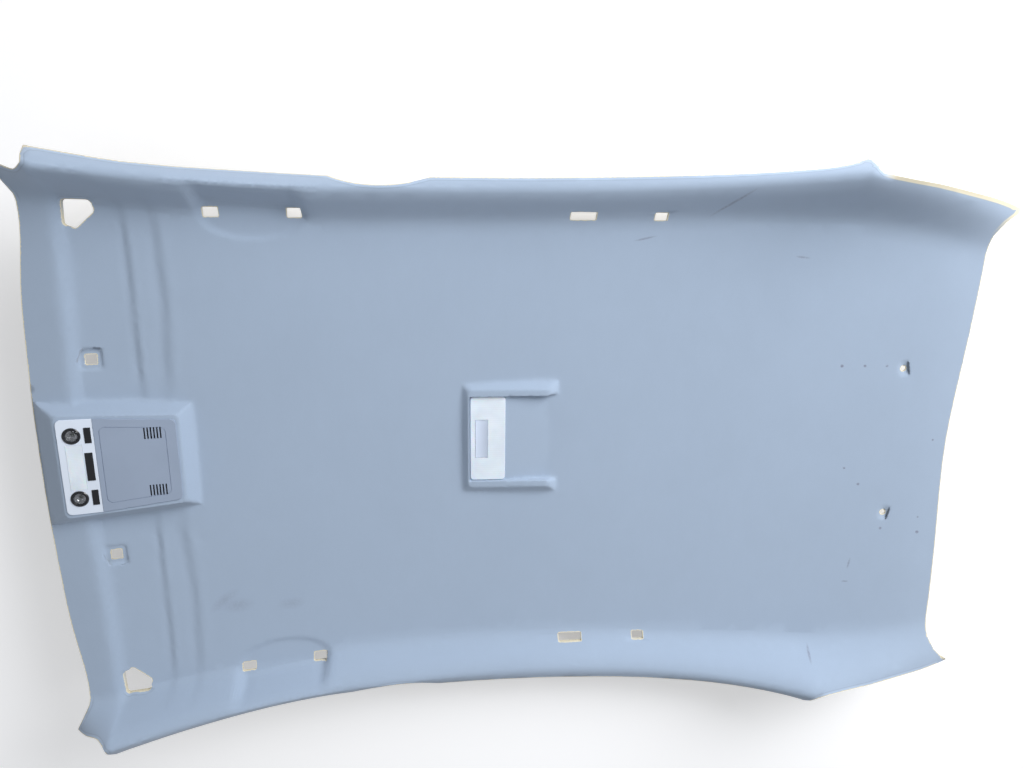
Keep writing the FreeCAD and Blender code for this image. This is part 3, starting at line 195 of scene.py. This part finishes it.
class Finish:
    """A material under construction: its nodes, and short ways to add and join them."""

    def __init__(self, name):
        self.material = bpy.data.materials.new(name)
        self.material.use_nodes = True
        self.tree = self.material.node_tree
        self.shader = self.tree.nodes["Principled BSDF"]
        self.place = self.add("ShaderNodeTexCoord").outputs["Object"]

    def add(self, kind, **values):
        """Adds a node and sets its own properties."""
        node = self.tree.nodes.new(kind)
        for key, value in values.items():
            setattr(node, key, value)
        return node

    def join(self, output, node, socket):
        """Joins an output to a named or numbered socket of a node."""
        self.tree.links.new(output, node.inputs[socket])

    def noise(self, scale, detail=3.0, roughness=0.55, stretch=None):
        """A noise in object space, from 0 to 1, stretched where a direction is given."""
        texture = self.add("ShaderNodeTexNoise")
        texture.inputs["Scale"].default_value = scale
        texture.inputs["Detail"].default_value = detail
        texture.inputs["Roughness"].default_value = roughness
        source = self.place
        if stretch:
            mapping = self.add("ShaderNodeMapping")
            mapping.inputs["Scale"].default_value = stretch
            self.join(source, mapping, "Vector")
            source = mapping.outputs["Vector"]
        self.join(source, texture, "Vector")
        return texture.outputs["Fac"]

    def span(self, source, low, high, to_low=0.0, to_high=1.0):
        """Maps one span of values to another, held at both ends."""
        node = self.add("ShaderNodeMapRange")
        node.inputs["From Min"].default_value = low
        node.inputs["From Max"].default_value = high
        node.inputs["To Min"].default_value = to_low
        node.inputs["To Max"].default_value = to_high
        self.join(source, node, "Value")
        return node.outputs["Result"]

    def maths(self, operation, first, second):
        """Two values joined by an operation; either may be a plain number."""
        node = self.add("ShaderNodeMath", operation=operation)
        for socket, value in enumerate((first, second)):
            if isinstance(value, (int, float)):
                node.inputs[socket].default_value = value
            else:
                self.join(value, node, socket)
        return node.outputs["Value"]

    def mix(self, factor, first, second):
        """A colour between two others, each a plain colour or an output."""
        node = self.add("ShaderNodeMix", data_type="RGBA")
        self.join(factor, node, 0)
        for socket, value in ((6, first), (7, second)):
            if isinstance(value, (tuple, list)):
                node.inputs[socket].default_value = (*value, 1.0)
            else:
                self.join(value, node, socket)
        return node.outputs[2]

    def colour(self, output):
        """Gives the shader its colour."""
        self.join(output, self.shader, "Base Color")

    def roughness(self, output):
        """Gives the shader its roughness."""
        self.join(output, self.shader, "Roughness")

    def bump(self, height, depth, strength=1.0):
        """Raises the surface by a height in metres."""
        node = self.add("ShaderNodeBump")
        node.inputs["Strength"].default_value = strength
        node.inputs["Distance"].default_value = depth
        self.join(height, node, "Height")
        self.join(node.outputs["Normal"], self.shader, "Normal")

    def spot(self, centre, half_length, half_width, turn):
        """A soft oval mask over a plan point, 1 at its centre and 0 at its rim."""
        mapping = self.add("ShaderNodeMapping", vector_type="TEXTURE")
        mapping.inputs["Location"].default_value = (centre[0], centre[1], 0.0)
        mapping.inputs["Rotation"].default_value = (0.0, 0.0, turn)
        mapping.inputs["Scale"].default_value = (half_length, half_width, 100.0)
        self.join(self.place, mapping, "Vector")
        ball = self.add("ShaderNodeTexGradient", gradient_type="SPHERICAL")
        self.join(mapping.outputs["Vector"], ball, "Vector")
        return ball.outputs["Fac"]

    def most_of(self, masks):
        """The strongest of several masks at each place."""
        result = masks[0]
        for mask in masks[1:]:
            result = self.maths("MAXIMUM", result, mask)
        return result

    def set(self, **values):
        """Sets numbers on the shader's own sockets."""
        for name, value in values.items():
            self.shader.inputs[name.replace("_", " ")].default_value = value


def shade(colour, factor):
    """A colour made lighter or darker."""
    return tuple(min(1.0, part * factor) for part in colour)


def line_mask(finish, start, end, width):
    """The mask of a mark that runs from one plan point to another."""
    run = Vector(end) - Vector(start)
    centre = (Vector(start) + Vector(end)) / 2.0
    return finish.spot(centre, run.length / 2.0 + width, width, math.atan2(run.y, run.x))


def cloth_finish(settings):
    """Needled cloth with fine tufts, soft mottling, the marks of use, and painted shade and a
    painted highlight along the side folds.
    """
    finish = Finish("roof_cloth")
    cloth = tuple(settings.cloth)
    tufts = finish.noise(1.0 / settings.grain, detail=4.0, roughness=0.7)
    clouds = finish.noise(5.0, detail=4.0)
    nap = finish.noise(38.0, detail=3.0, stretch=(1.0, 0.5, 1.0))
    base = finish.mix(finish.span(clouds, 0.3, 0.7), shade(cloth, 0.985), shade(cloth, 1.015))
    napped = finish.mix(finish.span(nap, 0.3, 0.7, 0.0, 0.16), base, shade(cloth, 0.9))
    tufted = finish.mix(finish.span(tufts, 0.32, 0.68, 0.0, 0.32), napped, shade(cloth, 0.76))
    scratches = finish.most_of([line_mask(finish, *mark) for mark in SCRATCHES])
    stains = finish.most_of([line_mask(finish, *mark) for mark in STAINS])
    spots = finish.most_of([finish.spot(place, size, size, 0.0) for place, size in SPOTS])
    broken = finish.span(finish.noise(240.0, detail=2.0), 0.3, 0.6, 0.35, 1.0)
    strong = settings.mark_strength
    worn = finish.maths("MULTIPLY", finish.span(scratches, 0.0, 0.6, 0.0, strong), broken)
    dirty = finish.maths("MULTIPLY", finish.span(spots, 0.0, 0.5, 0.0, 1.6 * strong), broken)
    faint = finish.maths("MULTIPLY", finish.span(stains, 0.0, 1.0, 0.0, 0.5 * strong), broken)
    marks = finish.most_of([worn, dirty, faint])
    marked = finish.mix(marks, tufted, tuple(settings.scuff))
    # The side fold gets painted shade and a painted highlight here; the fringe at the cuts is the
    # foam's own colour.
    finish.colour(painted_fold_light_and_fringe(finish, marked, cloth, tuple(settings.cut_edge)))
    finish.roughness(finish.span(tufts, 0.3, 0.7, 0.86, 1.0))
    finish.bump(tufts, 0.00035, 0.55)
    finish.set(Sheen_Weight=0.25, Sheen_Roughness=0.6, Specular_IOR_Level=0.2)
    return finish.material


def painted_fold_light_and_fringe(finish, colour, cloth, edge):
    """Paints shade into the pressed line along the sides and a painted highlight on the lip outside
    it, and adds the pale fringe at every cut.
    """
    reach = finish.add("ShaderNodeAttribute", attribute_name="edge_reach").outputs["Fac"]
    parts = finish.add("ShaderNodeSeparateXYZ")
    finish.join(finish.place, parts, "Vector")
    width = finish.maths("ABSOLUTE", parts.outputs["Y"], 0.0)
    at_side = finish.span(width, 0.53, 0.545)
    # Painted shade: a dark line along the fold near the sides, with a painted highlight on the lip
    # between it and the edge.
    from_fold_shade = finish.maths("ABSOLUTE", finish.maths("SUBTRACT", reach, FOLD_SHADE_REACH), 0.0)
    line = finish.maths("MULTIPLY", finish.span(from_fold_shade, 0.0, 0.0016, 0.42, 0.0), at_side)
    painted_lip_highlight = finish.maths("MULTIPLY", finish.span(reach, FOLD_SHADE_REACH - 0.0005, FOLD_SHADE_REACH, 0.4, 0.0),
                        at_side)
    painted_fold_shade_and_highlight = finish.mix(line, finish.mix(painted_lip_highlight, colour, shade(cloth, 1.2)), shade(cloth, 0.55))
    at_pillar = finish.maths("MULTIPLY", finish.span(parts.outputs["X"], 0.69, 0.72),
                             finish.span(parts.outputs["Y"], 0.48, 0.52))
    bare = finish.maths("MULTIPLY", finish.span(reach, 0.0075, 0.0085, 1.0, 0.0), at_pillar)
    frayed = finish.span(finish.noise(300.0, detail=2.0), 0.3, 0.7, 0.0008, 0.0026)
    fringe = finish.maths("LESS_THAN", reach, frayed)
    return finish.mix(finish.most_of([bare, fringe]), painted_fold_shade_and_highlight, edge)


def cut_edge_finish(settings):
    """Pale foam and glue where the board is trimmed."""
    finish = Finish("trimmed_edge")
    edge = tuple(settings.cut_edge)
    crumbs = finish.noise(420.0, detail=4.0, roughness=0.7)
    drift = finish.noise(14.0)
    base = finish.mix(finish.span(crumbs, 0.35, 0.65), shade(edge, 0.72), shade(edge, 1.04))
    finish.colour(finish.mix(finish.span(drift, 0.45, 0.7, 0.0, 0.5), base, tuple(settings.cloth)))
    finish.roughness(finish.span(crumbs, 0.3, 0.7, 0.8, 1.0))
    finish.bump(crumbs, 0.0006, 0.7)
    finish.set(Specular_IOR_Level=0.2)
    return finish.material


def board_back_finish(settings):
    """The bare back of the board: resin-bound fibre mat."""
    finish = Finish("board_back")
    back = tuple(settings.back)
    strands = finish.noise(150.0, detail=5.0, roughness=0.75, stretch=(1.0, 0.22, 1.0))
    crossing = finish.noise(150.0, detail=5.0, roughness=0.75, stretch=(0.22, 1.0, 1.0))
    mat = finish.maths("MAXIMUM", strands, crossing)
    clouds = finish.noise(6.0, detail=3.0)
    base = finish.mix(finish.span(mat, 0.45, 0.75), shade(back, 0.7), shade(back, 1.1))
    finish.colour(finish.mix(finish.span(clouds, 0.4, 0.7, 0.0, 0.4), base, shade(back, 0.82)))
    finish.roughness(finish.span(mat, 0.3, 0.7, 0.7, 0.95))
    finish.bump(mat, 0.0006, 0.6)
    finish.set(Specular_IOR_Level=0.3)
    return finish.material


def moulded_finish(name, colour, grain, rough=(0.42, 0.55), depth=0.00006, coat=0.0):
    """Moulded plastic with a fine spark-eroded grain and a slight drift in tone."""
    finish = Finish(name)
    colour = tuple(colour)
    pits = finish.noise(1.0 / grain, detail=3.0, roughness=0.6)
    drift = finish.noise(9.0, detail=3.0)
    base = finish.mix(finish.span(drift, 0.35, 0.65), shade(colour, 0.965), shade(colour, 1.03))
    finish.colour(finish.mix(finish.span(pits, 0.35, 0.65, 0.0, 0.14), base, shade(colour, 0.8)))
    wiped = finish.noise(26.0, detail=4.0, stretch=(1.0, 0.4, 1.0))
    finish.roughness(finish.span(wiped, 0.3, 0.7, rough[0], rough[1]))
    finish.bump(pits, depth, 0.5)
    finish.set(Coat_Weight=coat, Coat_Roughness=0.15)
    return finish.material


def metal_finish(name, colour, rough, brushed=0.0):
    """Bare metal; brushed gives the length of its brushing lines."""
    finish = Finish(name)
    scale = 700.0 if brushed else 160.0
    stretch = (1.0, brushed, 1.0) if brushed else None
    lines = finish.noise(scale, detail=3.0, stretch=stretch)
    finish.colour(finish.mix(finish.span(lines, 0.3, 0.7), shade(colour, 0.82), shade(colour, 1.05)))
    finish.roughness(finish.span(lines, 0.3, 0.7, rough * 0.7, rough * 1.4))
    finish.bump(lines, 0.00003, 0.4)
    finish.set(Metallic=1.0)
    return finish.material


def glass_finish(name, colour, rough, see_through, ripple):
    """Clear moulded lens or bulb glass with a slight ripple."""
    finish = Finish(name)
    waves = finish.noise(ripple, detail=2.0)
    finish.colour(finish.mix(finish.span(waves, 0.3, 0.7), shade(colour, 0.94), colour))
    finish.roughness(finish.span(waves, 0.3, 0.7, rough * 0.6, rough * 1.5))
    finish.bump(waves, 0.00012, 0.4)
    finish.set(Transmission_Weight=see_through, IOR=1.49)
    return finish.material


def frosted_finish(name, colour, ribs):
    """Frosted lens: a satin face over a faint pattern of ribs inside."""
    finish = Finish(name)
    colour = tuple(colour)
    frost = finish.noise(900.0, detail=3.0)
    depth = finish.noise(22.0, detail=2.0)
    wave = finish.add("ShaderNodeTexWave", wave_type="BANDS", bands_direction="Y")
    wave.inputs["Scale"].default_value = ribs
    finish.join(finish.place, wave, "Vector")
    base = finish.mix(finish.span(depth, 0.35, 0.65), shade(colour, 0.95), shade(colour, 1.04))
    ribbed = finish.mix(finish.span(wave.outputs["Fac"], 0.2, 0.8, 0.0, 0.10), base,
                        shade(colour, 0.8))
    finish.colour(ribbed)
    finish.roughness(finish.span(frost, 0.3, 0.7, 0.28, 0.42))
    finish.bump(frost, 0.00003, 0.35)
    finish.set(Subsurface_Weight=0.15, Subsurface_Scale=0.002, Coat_Weight=0.3,
               Coat_Roughness=0.12)
    return finish.material


def board_finish():
    """Lacquered circuit board with faint tracks under the lacquer."""
    finish = Finish("circuit_board_lacquer")
    green = (0.03, 0.16, 0.08)
    tracks = finish.add("ShaderNodeTexBrick")
    tracks.inputs["Scale"].default_value = 140.0
    tracks.inputs["Mortar Size"].default_value = 0.03
    tracks.inputs["Color1"].default_value = (*green, 1.0)
    tracks.inputs["Color2"].default_value = (*shade(green, 0.8), 1.0)
    tracks.inputs["Mortar"].default_value = (*shade(green, 1.7), 1.0)
    finish.join(finish.place, tracks, "Vector")
    blotch = finish.noise(60.0)
    finish.colour(finish.mix(finish.span(blotch, 0.4, 0.7, 0.0, 0.4), tracks.outputs["Color"],
                             shade(green, 1.2)))
    finish.roughness(finish.span(blotch, 0.3, 0.7, 0.25, 0.4))
    return finish.material


def give_finish(material, *names):
    """Gives CAD nodes a finish through their material slots, both sides of a pair too."""
    for name in names:
        pair = [node for node in (name, name + "_left", name + "_right")
                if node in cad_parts]
        if not pair:
            raise RuntimeError("the frame has no node " + name)
        for node in pair:
            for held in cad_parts[node].material_slots:
                held.material = material


# --- Pieces ----------------------------------------------------------------------------

def island_from(seed, steep):
    """Takes the steep faces that hang together with a first one, and what they touch."""
    island, touched, waiting = [seed], set(), [seed]
    steep.discard(seed)
    while waiting:
        for edge in waiting.pop().edges:
            for face in edge.link_faces:
                if face in steep:
                    steep.discard(face)
                    island.append(face)
                    waiting.append(face)
                elif face not in island:
                    touched.add(face)
    return island, touched


def around_pod(island):
    """Tells the rim of a pod's opening, which the cloth wraps, from a trimmed edge."""
    sides = [abs(vert.co.y) for face in island for vert in face.verts]
    return POD_OPENING_LEAST < max(sides) < POD_OPENING_MOST


def sort_sides(form):
    """Marks each face of the board's form as cabin side, trimmed edge or back."""
    for face in form.faces:
        face.material_index = CABIN if face.normal.z > 0.0 else BACK
    steep = {face for face in form.faces if abs(face.normal.z) < STEEPEST_CLOTH}
    while steep:
        island, touched = island_from(next(iter(steep)), steep)
        kinds = {face.material_index for face in touched}
        if kinds == {CABIN, BACK}:
            side = CABIN if around_pod(island) else EDGE
        else:
            side = kinds.pop() if kinds else EDGE
        for face in island:
            face.material_index = side


def step(value, start, end):
    """Smooth step from 0 at start to 1 at end."""
    share = min(1.0, max(0.0, (value - start) / (end - start)))
    return share * share * (3.0 - 2.0 * share)


def crease(across, width, depth):
    """Height of a pressed line: a dip in front of it and a swell behind it."""
    share = across / width
    return depth * share * math.exp(0.5 * (1.0 - share * share))


def visor_creases(place, settings):
    """The groove and the fold that the tool presses behind the sun visors."""
    side = abs(place.y)
    groove = HEADER_X + 0.203 + 0.035 * side
    fold = HEADER_X + 0.243 + 0.10 * min(side, 0.33)
    height = crease(place.x - groove, 0.0065, settings.groove_depth)
    height += crease(place.x - fold, 0.011, settings.fold_depth)
    return height * step(side, 0.15, 0.19) * (1.0 - step(side, 0.46, 0.52))


def handle_pocket(place, settings):
    """The crescent pressed in beside each front handle, deepest along the wall."""
    along = (place.x - POCKET_PLACE[0]) / POCKET_HALF_LENGTH
    inward = max(0.0, POCKET_PLACE[1] - abs(place.y)) / POCKET_REACH
    inside = 1.0 - along * along - inward * inward
    on_wall = step(abs(place.y), POCKET_PLACE[1], POCKET_PLACE[1] + 0.035)
    return -settings.pocket_depth * step(inside, 0.0, 0.42) * (1.0 - on_wall)


class Zone:
    """A box in plan, mirrored about the car's middle where it stands to one side."""

    def __init__(self, low, high, longest):
        self.low, self.high, self.longest = low, high, longest

    def holds(self, first, second=None):
        """Tells whether a point, or the box over two points, lies in the zone."""
        second = first if second is None else second
        near, far = sorted((abs(first.y), abs(second.y)))
        if first.y * second.y < 0.0:
            near = 0.0
        left, right = sorted((first.x, second.x))
        return (right > self.low[0] and left < self.high[0]
                and far > self.low[1] and near < self.high[1])


def zone_around(centre, half_length, half_width, longest):
    """A zone around one plan point."""
    return Zone((centre[0] - half_length, centre[1] - half_width),
                (centre[0] + half_length, centre[1] + half_width), longest)


CONSOLE_ZONE = Zone((HEADER_X + 0.02, -1.0), (COVER_HIGH[0] + 0.075, 0.180), SHORTEST_SPLIT)
LAMP_ZONE = Zone((LENS_LOW[0] - 0.045, -1.0), (LENS_HIGH[0] + 0.150, 0.155), SHORTEST_SPLIT)
CLIP_ZONE = zone_around(CLIP_PLACE, 0.040, 0.040, SHORTEST_SPLIT)
STUD_ZONE = zone_around(STUD_PLACE, 0.030, 0.030, SHORTEST_SPLIT)
FOLD_ZONE = Zone((HEADER_X + 0.185, 0.14), (HEADER_X + 0.305, 0.54), 0.009)
VISOR_ZONE = Zone((HEADER_X, 0.14), (HEADER_X + 0.185, 0.60), 0.018)
POCKET_ZONE = zone_around(POCKET_PLACE, 0.130, 0.075, 0.009)
ROOF_ZONE = Zone((-1.1, -1.0), (1.1, 0.70), 0.036)


def make_triangles(form):
    """Cuts every face into triangles and drops those that have no area."""
    bmesh.ops.dissolve_degenerate(form, dist=NO_LENGTH, edges=form.edges)
    many_sided = [face for face in form.faces if len(face.verts) > 3]
    bmesh.ops.triangulate(form, faces=many_sided, quad_method="BEAUTY", ngon_method="BEAUTY")
    bmesh.ops.dissolve_degenerate(form, dist=NO_LENGTH, edges=form.edges)


def split_long_edges(form, zone):
    """Splits the cabin side's long edges in a zone until they are short enough."""
    for _ in range(SPLIT_ROUNDS):
        long_edges = [edge for edge in form.edges
                      if edge.calc_length() > zone.longest
                      and any(face.material_index == CABIN for face in edge.link_faces)
                      and zone.holds(edge.verts[0].co, edge.verts[1].co)]
        if not long_edges:
            return
        bmesh.ops.subdivide_edges(form, edges=long_edges, cuts=1)
        make_triangles(form)


def over_plates(place):
    """Tells whether a place lies at a plate that the cloth's opening has to fit."""
    margin = 0.004
    side = abs(place.y)
    at_console = (BEZEL_LOW[0] - margin < place.x < COVER_HIGH[0] + margin
                  and side < BEZEL_HIGH[1] + margin)
    at_lamp = (LENS_LOW[0] - margin < place.x < LENS_HIGH[0] + margin
               and side < LENS_HIGH[1] + margin)
    return at_console or at_lamp


def soften(form, zone, passes):
    """Smooths the cabin side in a zone, away from plates, holes and edges."""
    free = [vert for vert in form.verts
            if zone.holds(vert.co) and not over_plates(vert.co)
            and all(face.material_index == CABIN for face in vert.link_faces)]
    for _ in range(passes):
        bmesh.ops.smooth_vert(form, verts=free, factor=SMOOTH_SHARE, use_axis_x=True,
                              use_axis_y=True, use_axis_z=True)


def press_details(form, settings):
    """Presses the creases and the handle pockets into the cabin side."""
    for vert in form.verts:
        if any(face.material_index == CABIN for face in vert.link_faces):
            vert.co.z += visor_creases(vert.co, settings) + handle_pocket(vert.co, settings)


def border_points(form):
    """Points along every line where the cloth meets a trimmed edge."""
    points = []
    for edge in form.edges:
        kinds = {face.material_index for face in edge.link_faces}
        if kinds == {CABIN, EDGE}:
            start, end = (vert.co for vert in edge.verts)
            parts = max(1, round(edge.calc_length() / BORDER_STEP))
            points += [start.lerp(end, part / parts) for part in range(parts)]
    return points


def measure_reach(form):
    """Stores how far each point of the cloth lies from its nearest trimmed edge."""
    points = border_points(form)
    tree = KDTree(len(points))
    for index, point in enumerate(points):
        tree.insert(point, index)
    tree.balance()
    layer = form.verts.layers.float.new("edge_reach")
    for vert in form.verts:
        vert[layer] = tree.find(vert.co)[2]


class TRIM_OT_moulded_form(bpy.types.Operator):
    """Builds the cloth-covered form in place of the plain board"""

    bl_idname = "trim.moulded_form"
    bl_label = "Moulded form"

    def execute(self, context):
        settings = context.scene.trim_fabric
        form = bmesh.new()
        form.from_mesh(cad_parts["headliner_shell"].data)
        bmesh.ops.remove_doubles(form, verts=form.verts, dist=0.00002)
        make_triangles(form)
        sort_sides(form)
        for zone in (ROOF_ZONE, VISOR_ZONE, FOLD_ZONE, POCKET_ZONE, CLIP_ZONE, STUD_ZONE,
                     CONSOLE_ZONE, LAMP_ZONE):
            split_long_edges(form, zone)
        press_details(form, settings)
        soften(form, CONSOLE_ZONE, settings.softness)
        soften(form, LAMP_ZONE, settings.softness)
        soften(form, CLIP_ZONE, 2)
        soften(form, STUD_ZONE, 3)
        measure_reach(form)
        for face in form.faces:
            face.smooth = True
        mesh = bpy.data.meshes.new("headliner_fabric")
        form.to_mesh(mesh)
        form.free()
        mesh.materials.append(cloth_finish(settings))
        mesh.materials.append(cut_edge_finish(settings))
        mesh.materials.append(board_back_finish(settings))
        mesh.set_sharp_from_angle(angle=math.radians(38.0))
        fabric = bpy.data.objects.new("headliner_fabric", mesh)
        context.scene.collection.objects.link(fabric)
        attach(fabric, "panel")
        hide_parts("headliner_shell")
        return {"FINISHED"}


class TRIM_OT_console_finishes(bpy.types.Operator):
    """Gives the overhead console's shells their plastics"""

    bl_idname = "trim.console_finishes"
    bl_label = "Console finishes"

    def execute(self, context):
        settings = context.scene.trim_plastic
        grain = settings.grain
        give_finish(moulded_finish("bezel_plastic_fine", settings.bezel, grain, (0.28, 0.4)),
                    "console_bezel")
        give_finish(moulded_finish("cover_plastic_fine", settings.cover, grain, (0.5, 0.62)),
                    "console_cover")
        give_finish(moulded_finish("housing_plastic_coarse", settings.black, 2.0 * grain),
                    "console_housing", "connector_socket", "rear_lamp_housing")
        give_finish(board_finish(), "circuit_board")
        return {"FINISHED"}


class TRIM_OT_console_controls(bpy.types.Operator):
    """Gives the buttons, rings, switches and microphones their black plastic"""

    bl_idname = "trim.console_controls"
    bl_label = "Console controls"

    def execute(self, context):
        settings = context.scene.trim_plastic
        give_finish(moulded_finish("button_black", settings.black, settings.grain,
                                   (0.34, 0.46)),
                    "reading_button", "centre_rocker")
        give_finish(moulded_finish("ring_black", settings.black, settings.grain,
                                   (0.18, 0.28), coat=0.4),
                    "reading_lamp_ring")
        give_finish(moulded_finish("switch_black", shade(tuple(settings.black), 1.4),
                                   2.0 * settings.grain, (0.5, 0.6)),
                    "reading_switch", "rocker_switch", "rear_lamp_switch", "microphone")
        return {"FINISHED"}


class TRIM_OT_lamps(bpy.types.Operator):
    """Gives lenses, reflectors and bulbs their glass and chrome"""

    bl_idname = "trim.lamps"
    bl_label = "Lamps"

    def execute(self, context):
        settings = context.scene.trim_plastic
        give_finish(frosted_finish("frosted_lens_front", settings.lens, 90.0), "courtesy_lens")
        give_finish(frosted_finish("frosted_lens_rear", settings.lens, 60.0), "rear_lamp_lens")
        give_finish(moulded_finish("rear_button_plastic", settings.button, settings.grain,
                                   (0.25, 0.36)), "rear_lamp_button")
        give_finish(glass_finish("reading_lens_clear", (0.93, 0.95, 0.97), 0.05, 1.0, 240.0),
                    "reading_lamp_lens")
        give_finish(glass_finish("bulb_glass_clear", (0.95, 0.96, 0.97), 0.03, 0.9, 320.0),
                    "reading_lamp_bulb", "courtesy_bulb", "rear_lamp_bulb")
        give_finish(metal_finish("reflector_bright", (0.78, 0.78, 0.8), 0.12),
                    "reading_lamp_reflector")
        return {"FINISHED"}


class TRIM_OT_fixings(bpy.types.Operator):
    """Gives spring clips and lamp contacts their metals"""

    bl_idname = "trim.fixings"
    bl_label = "Fixings"

    def execute(self, context):
        give_finish(metal_finish("clip_spring_steel", (0.52, 0.53, 0.56), 0.3, brushed=0.06),
                    "front_clip", "rear_clip", "rear_lamp_clip")
        give_finish(metal_finish("contact_brass_plain", (0.72, 0.52, 0.24), 0.28),
                    "courtesy_contact", "rear_lamp_contact")
        return {"FINISHED"}


class TRIM_OT_stage(bpy.types.Operator):
    """Sets the pale floor, the lamps, the camera and the view"""

    bl_idname = "trim.stage"
    bl_label = "Stage"

    def execute(self, context):
        settings = context.scene.trim_stage
        build_floor(context.scene, settings)
        build_sky(context.scene, settings)
        add_lamp(context.scene, "key_lamp", (1.9, 1.9, 1.7), 2.0, settings.key_power)
        add_lamp(context.scene, "fill_lamp", (-2.6, -1.2, 2.4), 2.6, settings.fill_power)
        add_camera(context.scene)
        context.scene.view_settings.view_transform = "Standard"
        return {"FINISHED"}


def build_floor(scene, settings):
    """A wide pale floor under the panel that keeps its shadow."""
    form = bmesh.new()
    bmesh.ops.create_grid(form, x_segments=1, y_segments=1, size=14.0)
    bmesh.ops.translate(form, verts=form.verts, vec=(0.0, 0.0, PANEL_LOW[2] - 0.0005))
    mesh = bpy.data.meshes.new("studio_floor")
    form.to_mesh(mesh)
    form.free()
    floor = bpy.data.objects.new("studio_floor", mesh)
    scene.collection.objects.link(floor)
    finish = Finish("floor_paint")
    tone = tuple(settings.floor)
    drift = finish.noise(0.8)
    finish.colour(finish.mix(drift, shade(tone, 0.99), shade(tone, 1.01)))
    finish.set(Roughness=0.9, Specular_IOR_Level=0.1)
    lift_seen_floor(finish)
    mesh.materials.append(finish.material)


def lift_seen_floor(finish):
    """Adds light to the floor only where the camera, gloss or glass sees it."""
    path = finish.add("ShaderNodeLightPath")
    seen = finish.most_of([path.outputs["Is Camera Ray"], path.outputs["Is Glossy Ray"],
                           path.outputs["Is Transmission Ray"]])
    glow = finish.add("ShaderNodeEmission")
    glow.inputs["Color"].default_value = (1.0, 1.0, 1.0, 1.0)
    finish.join(finish.maths("MULTIPLY", seen, 0.32), glow, "Strength")
    both = finish.add("ShaderNodeAddShader")
    output = finish.tree.nodes["Material Output"]
    finish.join(finish.shader.outputs["BSDF"], both, 0)
    finish.join(glow.outputs["Emission"], both, 1)
    finish.join(both.outputs["Shader"], output, "Surface")


def build_sky(scene, settings):
    """An even, slightly cool light from all round."""
    world = bpy.data.worlds.new("studio_sky")
    world.use_nodes = True
    background = world.node_tree.nodes["Background"]
    background.inputs["Color"].default_value = (0.97, 0.985, 1.0, 1.0)
    background.inputs["Strength"].default_value = settings.sky
    scene.world = world


def add_lamp(scene, name, place, size, power):
    """A soft square lamp that looks at the middle of the panel."""
    light = bpy.data.lights.new(name, "AREA")
    light.shape = "SQUARE"
    light.size = size
    light.energy = power
    lamp = bpy.data.objects.new(name, light)
    aim = Vector((0.0, 0.0, 0.1)) - Vector(place)
    lamp.matrix_world = Matrix.Translation(place) @ aim.to_track_quat("-Z", "Y").to_matrix().to_4x4()
    scene.collection.objects.link(lamp)


def add_camera(scene):
    """The camera at the photograph's place and angle."""
    view = bpy.data.cameras.new("photo_camera")
    view.sensor_width = SENSOR_WIDTH
    view.lens = FOCAL_PIXELS / PHOTO_WIDTH * SENSOR_WIDTH
    view.clip_end = 60.0
    camera = bpy.data.objects.new("photo_camera", view)
    back = CAMERA_RIGHT.cross(CAMERA_UP)
    turn = Matrix((CAMERA_RIGHT, CAMERA_UP, back)).transposed()
    camera.matrix_world = Matrix.Translation(CAMERA_PLACE) @ turn.to_4x4()
    scene.collection.objects.link(camera)
    scene.camera = camera


OPERATORS = (
    TRIM_OT_moulded_form,
    TRIM_OT_console_finishes,
    TRIM_OT_console_controls,
    TRIM_OT_lamps,
    TRIM_OT_fixings,
    TRIM_OT_stage,
)


class TRIM_PT_headliner(bpy.types.Panel):
    """Lists the steps that dress the headliner"""

    bl_idname = "TRIM_PT_headliner"
    bl_label = "Headliner"
    bl_space_type = "VIEW_3D"
    bl_region_type = "UI"
    bl_category = "Headliner"

    def draw(self, context):
        layout = self.layout
        for operator in OPERATORS:
            layout.operator(operator.bl_idname)
        for group in ("trim_fabric", "trim_plastic", "trim_stage"):
            settings = getattr(context.scene, group)
            box = layout.box()
            for name in settings.__annotations__:
                box.prop(settings, name)


SETTINGS = {
    "trim_fabric": FabricSettings,
    "trim_plastic": PlasticSettings,
    "trim_stage": StageSettings,
}


def register():
    for name, group in SETTINGS.items():
        bpy.utils.register_class(group)
        setattr(bpy.types.Scene, name, bpy.props.PointerProperty(type=group))
    for operator in OPERATORS:
        bpy.utils.register_class(operator)
    bpy.utils.register_class(TRIM_PT_headliner)


def unregister():
    bpy.utils.unregister_class(TRIM_PT_headliner)
    for operator in reversed(OPERATORS):
        bpy.utils.unregister_class(operator)
    for name, group in SETTINGS.items():
        delattr(bpy.types.Scene, name)
        bpy.utils.unregister_class(group)


def main():
    register()
    bpy.ops.trim.moulded_form()
    bpy.ops.trim.console_finishes()
    bpy.ops.trim.console_controls()
    bpy.ops.trim.lamps()
    bpy.ops.trim.fixings()
    bpy.ops.trim.stage()


if __name__ == "__main__":
    main()
